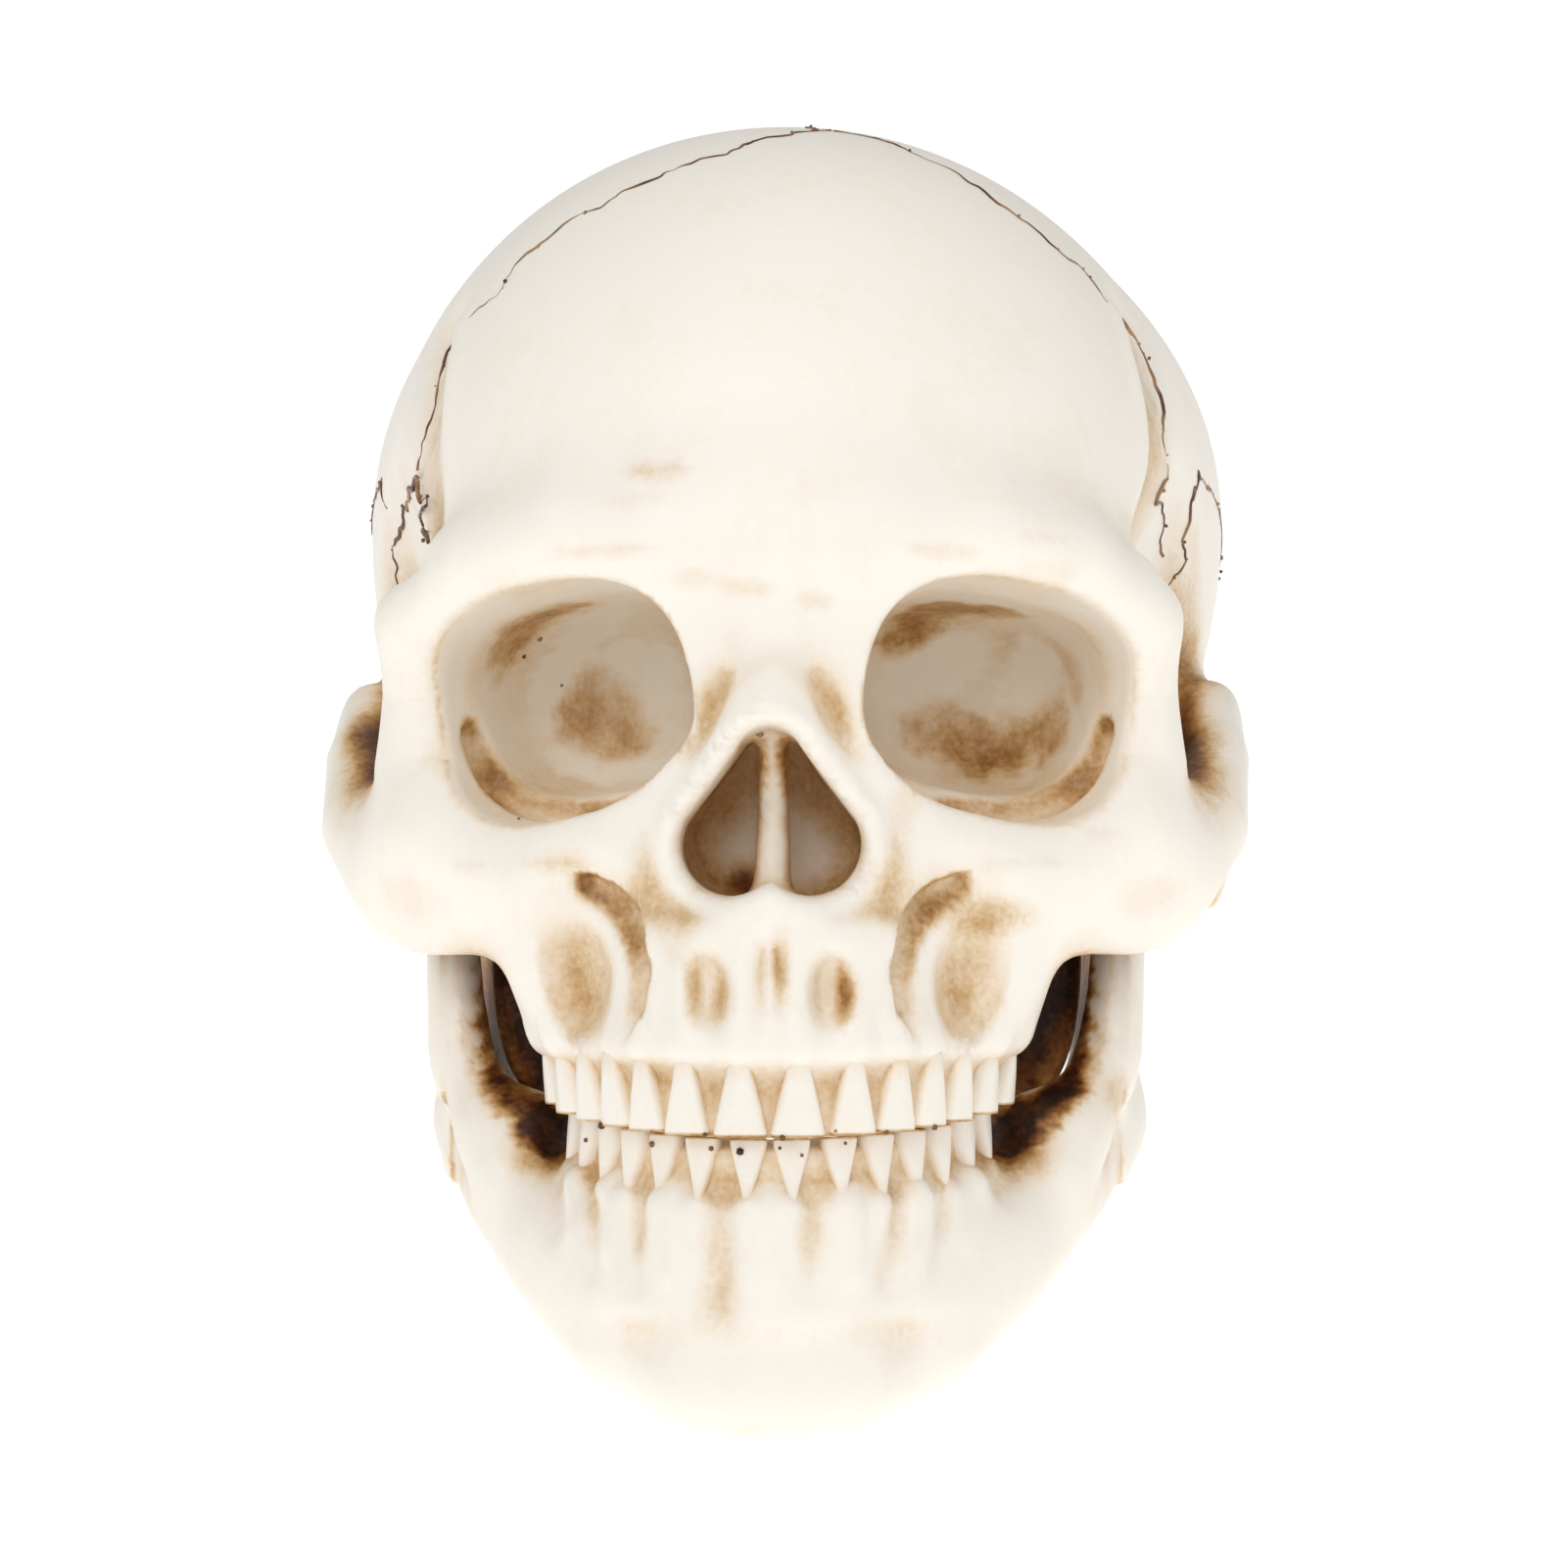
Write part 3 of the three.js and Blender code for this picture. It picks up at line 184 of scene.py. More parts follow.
# %% [markdown]
# ## The face
# Brow, eye-socket rims, cheek arches and nose are bars of bone, so they are rods through a few
# knots. The upper jaw and cheek bones are lumps. The eye sockets, the nose and the hollows over
# the canine teeth are cut out last, because the casting closes each of them with a smooth bowl.

# %% Lumps and bars of the face
SOCKET_BLOCK = (31, 60, 7, 27, 12, 25, -25)
MAXILLA = (14, 62, -17, 27, 23, 27, 0)
TUBEROSITY = (26, 46, -20, 11, 13, 20, 0)
CHEEK = (49, 56.5, -13, 16, 8.5, 12.2, -42)
GLABELLA = (0, 86, 31, 15, 7.5, 9, 0)
BROW = [
    (6, 86, 29, 5.5), (17, 87, 30.5, 5.5), (29, 84, 31.5, 5.5), (42, 76, 28.5, 5.5),
    (50.5, 67, 22, 5.2),
]
OUTER_RIM = [(51, 66, 22, 5.2), (51.5, 61, 12, 5.5), (52, 60, 2, 6.2), (50, 61, -7, 7)]
LOWER_RIM = [
    (48, 63, -7, 6), (39, 69, -12.8, 5.5), (29, 75, -14.5, 5.2), (19, 80, -9.5, 5),
    (12.5, 83, 1, 4.8), (9.5, 83, 13, 4.5), (10, 84, 22, 4.5),
]
ARCH = [
    (60, -20, 3, 5), (63.8, 0, 13, 5.5), (65.6, 18, 14, 4.3), (65, 34, 4.5, 5.2),
    (61.6, 45, -6, 7.2), (54, 54, -11.5, 8.4),
]
NOSE_BRIDGE = [(0, 82, 25, 6.5), (0, 84, 20, 5.5), (0, 92.5, 7.5, 4.5)]
NOSE_SIDE = [(7, 82, 18, 5.5), (11.5, 82.5, -2, 6.5), (15, 80, -13, 7)]
NOSE_RIM = [
    (0, 95.5, 6.5, 2.4), (6, 92, -1, 2.4), (10.5, 88.5, -8, 2.5), (13, 87, -13.5, 2.6),
    (11, 86.5, -19, 2.6), (4.5, 89.5, -20, 2.6), (0, 92.5, -18.5, 2.8),
]
SEPTUM = [(0, 86, 5, 1.6), (0, 79, -6, 2.2), (0, 84, -18, 2.6)]
MASTOID = [(54, -6, 4, 13), (52, -5, -10, 10), (48, -6, -22, 6)]
PTERYGOID = [(17, 36, -8, 7), (20, 40, -32, 4)]
RECESS_WALL = (30, 31, -22, 15, 3.5, 27, 10)

# %% Hollows of the face
SOCKET_HOLLOW = (30.5, 76, 9.5, 21, 21, 16.2, -16, 10)
SOCKET_BOWL = (27.5, 58, 12, 17.5, 18, 13.5, -16, 10)
SOCKET_POWER = 2.7
LEFT_SOCKET_SHIFT = 2.2
SOCKET_GROOVE = [
    (46.5, 60, 6, 2.2), (43.5, 59, 0, 2.8), (38, 60, -3, 3), (32, 60.5, -4.5, 3),
    (25.5, 62, -3.8, 2.2),
]
CANINE_HOLLOW = (29, 87, -26, 8, 7.5, 11, -35)
INNER_CANINE_HOLLOW = (28.5, 81, -29.5, 6, 6, 8.5, -35)
CANINE_GROOVE = [
    (25, 81.5, -16, 1.4), (20.5, 83.5, -18.5, 2), (18.2, 86.5, -23, 2.2),
    (17.8, 88.5, -28, 2.1), (18.3, 89, -32.5, 1.6), (20, 88.7, -36, 0.6),
]
BESIDE_SPINE_HOLLOW = (8.3, 97, -30.5, 3.1, 5, 5.4, 0)
UNDER_SPINE_HOLLOW = (0, 99, -28, 2, 4.4, 7.5, 0)
PALATE_HOLLOW = (0, 56, -45, 21, 27, 16, 0)
EAR_HOLLOW = (66, -4.5, 0, 12, 3.4, 4.2, 0)
NOSE_TOP = (0, -0.2, 5.0)  # across, up and radius of the heart-shaped opening
NOSE_LOBE = (5.2, -10.8, 7.3)
NOSE_BACK = 68.0


def socket_hollows(p, x):
    """Both eye sockets. The left one lies a little nearer the middle."""
    p = (np.abs(p[0]) + np.where(x < 0, LEFT_SOCKET_SHIFT, 0), p[1], p[2])
    hollow, bowl = (mass(p, shape, SOCKET_POWER) for shape in (SOCKET_HOLLOW, SOCKET_BOWL))
    return hollow, bowl, rod(p, SOCKET_GROOVE)


def nose_edge(p):
    """Distance out from the heart-shaped edge of the nose, seen from the front."""
    (ax, az, ar), (bx, bz, br) = NOSE_TOP, NOSE_LOBE
    ux, uz = bx - ax, bz - az
    t = np.clip(((p[0] - ax) * ux + (p[2] - az) * uz) / (ux * ux + uz * uz), 0, 1)
    return np.hypot(p[0] - ax - t * ux, p[2] - az - t * uz) - ar - t * (br - ar)


def nose_hollow(p):
    return carve(nose_edge(p), p[1] - NOSE_BACK, SOFT["rim"])


# %% [markdown]
# ## Gums and roots
# Each row of teeth follows half an oval with straight legs behind it. The gum is a band along
# that line, between two heights that slope along the face. Every root raises a low ridge on the
# gum, so there is one short rod for each tooth.

# %% Rows of teeth
# Each row's line and half width, its necks as a share of its crowns' widths, and where and how
# wide its roots start
UPPER_ROW = {
    "middle": 47, "across": 30, "forward": 44, "back": 40, "half": 5.4,
    "neck": 0.5, "root_inset": 3.0, "root_radius": 0.36,
}
LOWER_ROW = {
    "middle": 47, "across": 27, "forward": 41, "back": 40, "half": 5.0,
    "neck": 0.3, "root_inset": 1.5, "root_radius": 0.34,
}
# Sloping heights: the height, where along the face it holds, and its slope
BITE = (-50.7, 95, -0.1125)
UPPER_GUM = (-40.7, 93, -0.07)
UPPER_GUM_TOP = (-22, 93, 0)
LOWER_GUM = (-58.3, 92, -0.1)
LOWER_GUM_END = (-74, 92, -0.2)
BITE_GAP = 0.5
CROWN_WALL_GAP = 0.3
# Teeth from the middle backwards: turn as a share of a quarter turn, width, depth, edge depth
UPPER_TEETH = [
    (0.07, 7.5, 7, 2.2), (0.203, 6.8, 6.4, 2.2), (0.319, 6.6, 7.6, 3.4),
    (0.425, 6.8, 8.4, 6.2), (0.531, 7.1, 8.6, 6.6), (0.656, 9.6, 10, 8.4),
    (0.805, 9.3, 9.8, 8),
]
LOWER_TEETH = [
    (0.058, 5.3, 6.2, 2.2), (0.186, 5.3, 6.4, 2.2), (0.3, 5.7, 7.2, 3.4),
    (0.411, 6.2, 7.6, 5.6), (0.518, 6.6, 7.8, 6), (0.648, 8.2, 9.2, 7.8),
    (0.79, 8.2, 9, 7.6),
]
# Root ridges: their two ends' places as shares of the row's half width, length, and thin end
ROOT_START_OUT, ROOT_END_OUT, ROOT_LENGTH, ROOT_END_RADIUS = 0.72, 0.6, 13, 0.24
# The wall behind the crowns: its row and its thickness as shares of the crowns' own
WALL_ROW, WALL_HALF = 1.02, 0.5


def height_at(line, y):
    height, forward, slope = line
    return height + slope * (y - forward)


def from_row(p, row):
    """Distance across the row's middle line, above zero on the lips' side."""
    across, forward = row["across"], row["forward"]
    dy = p[1] - row["middle"]
    reach = np.hypot(p[0] / across, dy / forward)
    slope = np.maximum(np.hypot(p[0] / across**2, dy / forward**2), TINY)
    return np.where(dy > 0, reach * (reach - 1) / slope, p[0] - across)


def gum(p, row, bottom, top, softness):
    band = np.abs(from_row(p, row)) - row["half"]
    over = np.maximum(p[2] - height_at(top, p[1]), height_at(bottom, p[1]) - p[2])
    return carve(band, -np.maximum(over, row["back"] - p[1]), softness)


def crown_wall(p, row, gum_end, gap):
    """The wall that the crowns stand out from."""
    inner = {**row, "across": row["across"] * WALL_ROW, "forward": row["forward"] * WALL_ROW}
    inner["half"] = row["half"] * WALL_HALF
    edge = (BITE[0] + gap, BITE[1], BITE[2])
    ends = (edge, gum_end) if gap > 0 else (gum_end, edge)
    return gum(p, inner, *ends, SOFT["fine"])


def place_on_row(row, turn_share):
    """A tooth's middle on its row, and the way out of the mouth."""
    turn = turn_share * math.pi / 2
    out = np.array([math.sin(turn) / row["across"], math.cos(turn) / row["forward"]])
    out /= np.linalg.norm(out)
    x = row["across"] * math.sin(turn)
    y = row["middle"] + row["forward"] * math.cos(turn)
    return x, y, out


def root_rods(row, teeth, gum_line, direction):
    rods = []
    for turn_share, width, _, _ in teeth:
        x, y, out = place_on_row(row, turn_share)
        z = height_at(gum_line, y)
        near, far = ROOT_START_OUT * row["half"], ROOT_END_OUT * row["half"]
        start = z + direction * row["root_inset"]
        rods.append([
            (x + out[0] * near, y + out[1] * near, start, row["root_radius"] * width),
            (x + out[0] * far, y + out[1] * far, z + direction * ROOT_LENGTH,
             ROOT_END_RADIUS * width),
        ])
    return rods


UPPER_ROOTS = root_rods(UPPER_ROW, UPPER_TEETH, UPPER_GUM, 1)
LOWER_ROOTS = root_rods(LOWER_ROW, LOWER_TEETH, LOWER_GUM, -1)


def roots(p, rods):
    nearest = rod(p, rods[0])
    for knots in rods[1:]:
        nearest = np.minimum(nearest, rod(p, knots))
    return nearest


print("teeth in the rows:", 2 * len(UPPER_TEETH), "and", 2 * len(LOWER_TEETH))

# %% [markdown]
# ## The jaw's joint
# A round socket under the ear line takes the condyle, with a lug outside it that holds the pin.
# The socket is open below, so that the condyle's neck can swing.

# %% Socket and lug
CONDYLE_RADIUS, HALF_CONDYLE = 6.4, 5.5
SOCKET_CLEARANCE, SIDE_CLEARANCE, SWING_ROOM = 0.7, 0.5, 6.0
SOCKET_ROUNDING, CONDYLE_ROUNDING = 0.3, 0.3 * CONDYLE_RADIUS
OPEN_BELOW, BORE_RADIUS, BORE_PAST_END = 100, 3.4, 2
SOCKET_RADIUS = CONDYLE_RADIUS + SOCKET_CLEARANCE
SOCKET_IN = HINGE[0] - HALF_CONDYLE - SIDE_CLEARANCE
SOCKET_OUT = HINGE[0] + HALF_CONDYLE + SIDE_CLEARANCE
LUG_OUT, LUG_HALF, LUG_REACH, SEAT_LENGTH = 4.5, 4.8, 3, 6
LUG = (SOCKET_OUT + LUG_OUT, HINGE[1], HINGE[2] + SOCKET_RADIUS / 2,
       LUG_HALF, SOCKET_RADIUS + LUG_REACH, SOCKET_RADIUS * 2, 0)
INNER_SEAT = [
    (SOCKET_IN - SEAT_LENGTH, HINGE[1], HINGE[2], SOCKET_RADIUS),
    (SOCKET_IN - SOCKET_RADIUS / 2, HINGE[1], HINGE[2], SOCKET_RADIUS),
]


def jaw_socket(p):
    low = (SOCKET_IN, HINGE[1] - SOCKET_RADIUS - SWING_ROOM, HINGE[2] - OPEN_BELOW)
    high = (SOCKET_OUT, HINGE[1] + SOCKET_RADIUS + SWING_ROOM / 2, HINGE[2] - SOCKET_RADIUS / 2)
    ring = drum(p, HINGE, SOCKET_RADIUS, HALF_CONDYLE + SIDE_CLEARANCE, SOCKET_ROUNDING)
    return blend(ring, block(p, low, high), SOFT["fine"])


# %% The whole cranium as one form


def face_bones(p):
    d = joined(mass(p, SOCKET_BLOCK), p, "face", MAXILLA, TUBEROSITY, GLABELLA)
    d = joined(d, p, "rim", CHEEK, BROW, OUTER_RIM, LOWER_RIM, NOSE_SIDE, NOSE_BRIDGE)
    d = blend(d, gum(p, UPPER_ROW, UPPER_GUM, UPPER_GUM_TOP, SOFT["edge"]), SOFT["rim"])
    d = blend(d, roots(p, UPPER_ROOTS), SOFT["fine"])
    d = blend(d, crown_wall(p, UPPER_ROW, UPPER_GUM_TOP, CROWN_WALL_GAP), SOFT["fine"])
    d = joined(d, p, "rim", PTERYGOID)
    return blend(d, mass(p, RECESS_WALL, SOCKET_POWER), SOFT["rim"])


def outer_cranium(p):
    hollow, bowl, groove = socket_hollows(p, p[0])
    p = (np.abs(p[0]), p[1], p[2])
    d = joined(braincase(p), p, "base", SKULL_BASE)
    d = joined(d, p, "rim", MASTOID, INNER_SEAT)
    d = blend(d, face_bones(p), SOFT["face"])
    d = joined(d, p, "rim", ARCH)
    d = blend(d, mass(p, LUG, SOCKET_POWER), SOFT["rim"])
    d = carve(d, hollow, SOFT["crisp"])
    d = carve(d, bowl, SOFT["fine"])
    d = dented(d, p, "rim", CANINE_HOLLOW)
    d = dented(d, p, "fine", INNER_CANINE_HOLLOW, BESIDE_SPINE_HOLLOW, UNDER_SPINE_HOLLOW)
    d = carve(carve(d, groove, SOFT["fine"]), rod(p, CANINE_GROOVE), SOFT["fine"])
    d = dented(d, p, "edge", EAR_HOLLOW, PALATE_HOLLOW)
    d = joined(d, p, "rim", NOSE_RIM)
    d = joined(carve(d, nose_hollow(p), SOFT["fine"]), p, "edge", SEPTUM)
    return carve(d, jaw_socket(p), SOFT["fine"])


# %% [markdown]
# ## The hollow inside
# The braincase is cast hollow with an even wall, and the large hole under it leads inside. The
# flats that it stands on are ground off level with the table.

# %% Hollow, hole and ground
WALL = 6.0
HOLE_PLACE, HOLE_HALF = (0, -27, -25), (15.0, 17.5, 20.0)
TABLE_TOP = -SHIFT[2] / MM  # the table in upright millimetres, along the frame's up


def table_cut(p):
    return TABLE_TOP - (TO_FRAME[2, 1] * p[1] + TO_FRAME[2, 2] * p[2])


def brain_hollow(p):
    sockets = np.minimum(*socket_hollows(p, p[0])[:2])
    p = (np.abs(p[0]), p[1], p[2])
    d = carve(braincase(p), sockets, SOFT["base"]) + WALL
    d = np.maximum(d, WALL - nose_hollow(p))
    reach = np.hypot((p[0] - HOLE_PLACE[0]) / HOLE_HALF[0], (p[1] - HOLE_PLACE[1]) / HOLE_HALF[1])
    hole = np.maximum((reach - 1) * HOLE_HALF[0], np.abs(p[2] - HOLE_PLACE[2]) - HOLE_HALF[2])
    return blend(d, hole, SOFT["fine"])


def cranium(p):
    d = carve(outer_cranium(p), brain_hollow(p), SOFT["fine"] / 2)
    return np.maximum(d, table_cut(p))


# %% [markdown]
# ## The lower jaw
# A rounded lower border and a plate carry the gum, and each upright branch has a thick back edge,
# a thin front edge and a plate between them. Its condyle is a drum on the hinge. Where the jaw
# would touch the cranium at rest it is cut back, which leaves a gap beside each cheek arch.

# %% Lower jaw
LOWER_BORDER = [
    (0, 81, -81.5, 8), (11, 79.5, -81.5, 8), (21, 73, -78, 7.5), (31, 60, -70, 7),
    (40, 44, -61.5, 6.2), (45.3, 30, -55.5, 5.6), (47.8, 19, -50, 5.4),
]
JAW_PLATE = [(0, 82.5, -70, 7), (15, 78.5, -70, 6.8), (26, 68, -66, 6.4), (34, 54, -61, 6)]
CHIN = (0, 84.5, -82, 14, 6.5, 8, 0)
RAMUS_BACK = [(47.8, 19, -50, 5.4), (49, 16.5, -34, 3.6), (51.5, 14, -18, 3.6), (54, 13, -9, 5)]
RAMUS_FRONT = [
    (53.5, 37, -8, 2.6), (50.4, 38, -20, 2.6), (49.3, 39, -31, 3), (47.8, 41, -39, 4),
    (45, 45, -46, 4.6), (39.6, 52, -56, 5.2),
]
RAMUS_PLATE = (49.8, 27, -33, 2.6, 15, 22, 0)
MOLAR_PAD = (36, 46, -52, 9, 8, 6.5, 0)


def mandible(p):
    p = (np.abs(p[0]), p[1], p[2])
    d = joined(rod(p, LOWER_BORDER), p, "rim", JAW_PLATE)
    d = blend(d, gum(p, LOWER_ROW, LOWER_GUM_END, LOWER_GUM, SOFT["edge"]), SOFT["rim"])
    d = blend(d, roots(p, LOWER_ROOTS), SOFT["fine"])
    d = blend(d, crown_wall(p, LOWER_ROW, LOWER_GUM_END, -CROWN_WALL_GAP), SOFT["fine"])
    d = joined(joined(d, p, "rim", CHIN), p, "edge", MOLAR_PAD)
    branch = joined(rod(p, RAMUS_BACK), p, "rim", RAMUS_FRONT, RAMUS_PLATE)
    condyle = drum(p, HINGE, CONDYLE_RADIUS, HALF_CONDYLE, CONDYLE_ROUNDING)
    branch = blend(branch, condyle, SOFT["fine"])
    d = blend(d, branch, SOFT["rim"])
    d = carve(d, outer_cranium(p) - SOCKET_CLEARANCE, SOFT["fine"])
    d = np.maximum(d, -drum(p, HINGE, BORE_RADIUS, HALF_CONDYLE + BORE_PAST_END, 0))
    return np.maximum(d, table_cut(p))


# %% [markdown]
# ## Reading the surface
# To make a mesh, the form is read at the points of a grid. Each cell that the surface crosses
# gets one corner, and four neighbouring cells share a face. Each corner then slides along the
# form's slope until it lies on the surface. The grid is fine round the face, where the detail
# is, and coarser behind it and over the vault. Points far from the surface are read once a
# block, which saves most of the work.

# %% Grid, faces and sliding onto the surface
BLOCK, CHUNK = 5, 120000  # cells along a block's side, and points read at once
NUDGE, FLATTEST = 0.05, 0.3  # step for measuring a slope, and the least square that one counts as


def read(form, points):
    """The form's value at many points, a chunk at a time."""
    parts = [form(tuple(points[n : n + CHUNK].T)) for n in range(0, len(points), CHUNK)]
    return np.concatenate(parts) if parts else np.zeros(0)


def sampled(form, axes):
    index = [np.arange(len(a)) // BLOCK for a in axes]
    middles, spans = [], []
    for a, i in zip(axes, index):
        groups = [a[i == n] for n in range(i[-1] + 1)]
        middles.append(np.array([(g[0] + g[-1]) / 2 for g in groups]))
        spans.append(np.array([g[-1] - g[0] for g in groups]))
    centres = np.stack(np.meshgrid(*middles, indexing="ij"), -1)
    across = np.sqrt(sum(s**2 for s in np.meshgrid(*spans, indexing="ij")))
    whole = read(form, centres.reshape(-1, 3)).reshape(across.shape)
    spread = np.ix_(*index)
    value = whole[spread].copy()
    near = (np.abs(whole) <= across)[spread]
    where = np.argwhere(near)
    points = np.stack([axes[n][where[:, n]] for n in range(3)], 1)
    value[near] = read(form, points)
    return value


def filled(value):
    """Fills the points where the form would only touch itself from corner to corner."""
    changed = True
    while changed:
        changed = False
        for u, v in ((0, 1), (1, 2), (2, 0)):
            view = np.moveaxis(value, (u, v), (0, 1))
            a, b, c, d = view[:-1, :-1], view[1:, :-1], view[1:, 1:], view[:-1, 1:]
            for (p, q), (r, s) in (((a, c), (b, d)), ((b, d), (a, c))):
                touch = (p < 0) & (q < 0) & (r >= 0) & (s >= 0)
                if touch.any():
                    changed = True
                    lower = touch & (r < s)
                    r[lower] *= -1
                    s[touch & ~lower] *= -1
    return np.where(value == 0, -TINY, value)


def step_ends(axis, others):
    """The two ends of each step along an axis, as slices of a grid."""
    return [tuple(ends if n == axis else others for n in range(3))
            for ends in (slice(0, -1), slice(1, None))]


def cell_corners(value, axes):
    """One corner in each crossed cell, at the middle of the crossings of its edges."""
    shape = np.array(value.shape)
    total = np.zeros((*(shape - 1), 3))
    count = np.zeros(shape - 1)
    grid = np.meshgrid(*axes, indexing="ij")
    for axis in range(3):
        low, high = step_ends(axis, slice(None))
        va, vb = value[low], value[high]
        crossed = (va < 0) != (vb < 0)
        t = np.where(crossed, va / np.where(crossed, va - vb, 1), 0)
        others = [n for n in range(3) if n != axis]
        for shift in ((0, 0), (0, 1), (1, 0), (1, 1)):
            cut = [slice(None)] * 3
            for n, s in zip(others, shift):
                cut[n] = slice(s, s + shape[n] - 1)
            cut = tuple(cut)
            hit = crossed[cut]
            count += hit
            for n in range(3):
                place = grid[n][low][cut] + t[cut] * (grid[n][high][cut] - grid[n][low][cut])
                total[..., n] += place * hit
    used = count > 0
    number = np.full(count.shape, -1)
    number[used] = np.arange(used.sum())
    return total[used] / count[used][:, None], number


def cell_faces(value, number):
    quads = []
    for axis in range(3):
        low, high = step_ends(axis, slice(1, -1))
        here, there = value[low] < 0, value[high] < 0
        where = np.argwhere(here != there)
        at = where + [0 if n == axis else 1 for n in range(3)]
        u, v = (axis + 1) % 3, (axis + 2) % 3
        ring = []
        for du, dv in ((1, 1), (0, 1), (0, 0), (1, 0)):
            cell = at.copy()
            cell[:, u] -= du
            cell[:, v] -= dv
            ring.append(number[tuple(cell.T)])
        face = np.stack(ring, 1)
        outward = here[tuple(where.T)]
        face[~outward] = face[~outward][:, ::-1]
        quads.append(face)
    return np.concatenate(quads)


def slope_of(form, points, d=None):
    d = read(form, points) if d is None else d
    return np.stack([(read(form, points + step) - d) / NUDGE for step in NUDGE * np.eye(3)], 1)


def slid(form, points, reach, rounds=2):
    """Slides points along the form's slope onto its surface."""
    start, p = points, points.copy()
    for _ in range(rounds):
        d = read(form, p)
        slope = slope_of(form, p, d)
        steep = np.maximum((slope**2).sum(1), FLATTEST)
        new = p - (d / steep)[:, None] * slope
        near = np.linalg.norm(new - start, axis=1) <= reach
        p[near] = new[near]
    return p


def span(low, high, cell):
    return np.linspace(low, high, int(math.ceil((high - low) / cell)) + 1)


def surface(form, axes, reach):
    value = filled(sampled(form, axes))
    corners, number = cell_corners(value, axes)
    return slid(form, corners, reach), cell_faces(value, number)


# %% [markdown]
# ## The paint
# The brown wash runs into hollows and is wiped off what stands proud. The first part can be
# measured: from each corner of the mesh, step outwards and see how near other bone still is.
# The second part is where the painter left more or less of it, as lists of places and lines. A few
# of those places are painted shade: the gap behind each jaw branch, under the brow, on the cheeks
# and in the temples.
# The result is one number a corner, kept in the mesh, and the material turns it into colour.

# %% How enclosed each corner is, and the pools of wash and painted shade
# Steps out in millimetres with their weights, and the most and the curve that each one counts
STEPS_OUT = [(1.5, 0.5), (3.5, 0.8), (7.0, 0.9), (13.0, 0.8), (22.0, 0.5)]
STEP_MOST, STEP_CURVE = 1.4, 1.3
# A pool ends at this many times its half sizes, along this curve
POOL_EDGE, POOL_CURVE = 1.4, 1.5


def enclosed(form, points, outward):
    total = np.zeros(len(points))
    for reach, weight in STEPS_OUT:
        d = read(form, points + outward * reach)
        total += weight * np.clip(1 - d / reach, 0, STEP_MOST) ** STEP_CURVE
    return total / sum(weight for _, weight in STEPS_OUT)


def pooled_wash_and_shade(points, wash_and_shade_pools):
    """Adds and removes wash and painted shade at places: middle, half sizes and strength."""
    total = np.zeros(len(points))
    x, y, z = points.T
    for px, py, pz, rx, ry, rz, strength in wash_and_shade_pools:
        reach = np.sqrt(((x - px) / rx) ** 2 + ((y - py) / ry) ** 2 + ((z - pz) / rz) ** 2)
        total += strength * np.clip(POOL_EDGE - reach, 0, 1) ** POOL_CURVE
    return total


def along_lines(points, lines, ragged=0.0, edge=2):
    """Sums amounts along lines: knots, amount and width. A higher edge ends them more sharply."""
    x, y, z = points.T
    # An uneven pattern, a few millimetres across
    wobble = np.sin(0.9 * x + 1.5 * np.sin(0.7 * z)) * np.sin(1.1 * z + 0.8 * y)
    wobble += 0.6 * np.sin(2.1 * x - 1.7 * z + np.sin(y)) * np.sin(1.9 * z + 1.3 * x)
    total = np.zeros(len(points))
    for knots, amount, width in lines:
        gap = rod((x, y, z), [(*knot, 0) for knot in knots]) + ragged * wobble
        total += amount * np.exp(-((np.maximum(gap, 0) / width) ** edge))
    return total


def mirrored(rows):
    return [(-row[0], *row[1:]) for row in rows]


def both_sides(rows):
    return rows + mirrored(rows)


CRANIUM_WASH_AND_SHADE_POOLS = both_sides([
    (28, 44, 13, 17, 14, 15, 0.07),  # bowl of the eye socket
    (40, 56, -1, 11, 12, 5, 0.12),
    (54, 68, 18, 3, 14, 9, 0.12),  # outer rim
    (36, 80, 26.5, 13, 14, 3.6, 0.17),  # upper rim: wash, and painted shade under the brow ridge
    (30, 92, 35, 13, 14, 3, 0.1),  # over the brow: wash, and painted shade along the brow ridge
    (52, 64, -17, 8, 14, 5, 0.11),  # cheek: painted shade
    (26, 75.5, -29, 5, 10, 7.5, 0.32),  # canine hollow
    (0.1, 72, -8, 9, 12, 12, -0.2),  # inside of the nose
    (60, 40, 2, 8, 22, 16, 0.3),  # behind the outer rim: wash, and painted shade in the temple hollow
    (62, 24, 30, 8, 16, 12, 0.12),
    (56, 40, -8, 14, 26, 22, 0.2),
    (42, 40, -30, 14, 22, 24, 0.55),  # behind the upper jaw: painted shade in the dark gap behind the jaw's branch
    (6, 50, -45, 20, 30, 18, 0.15),  # palate
])
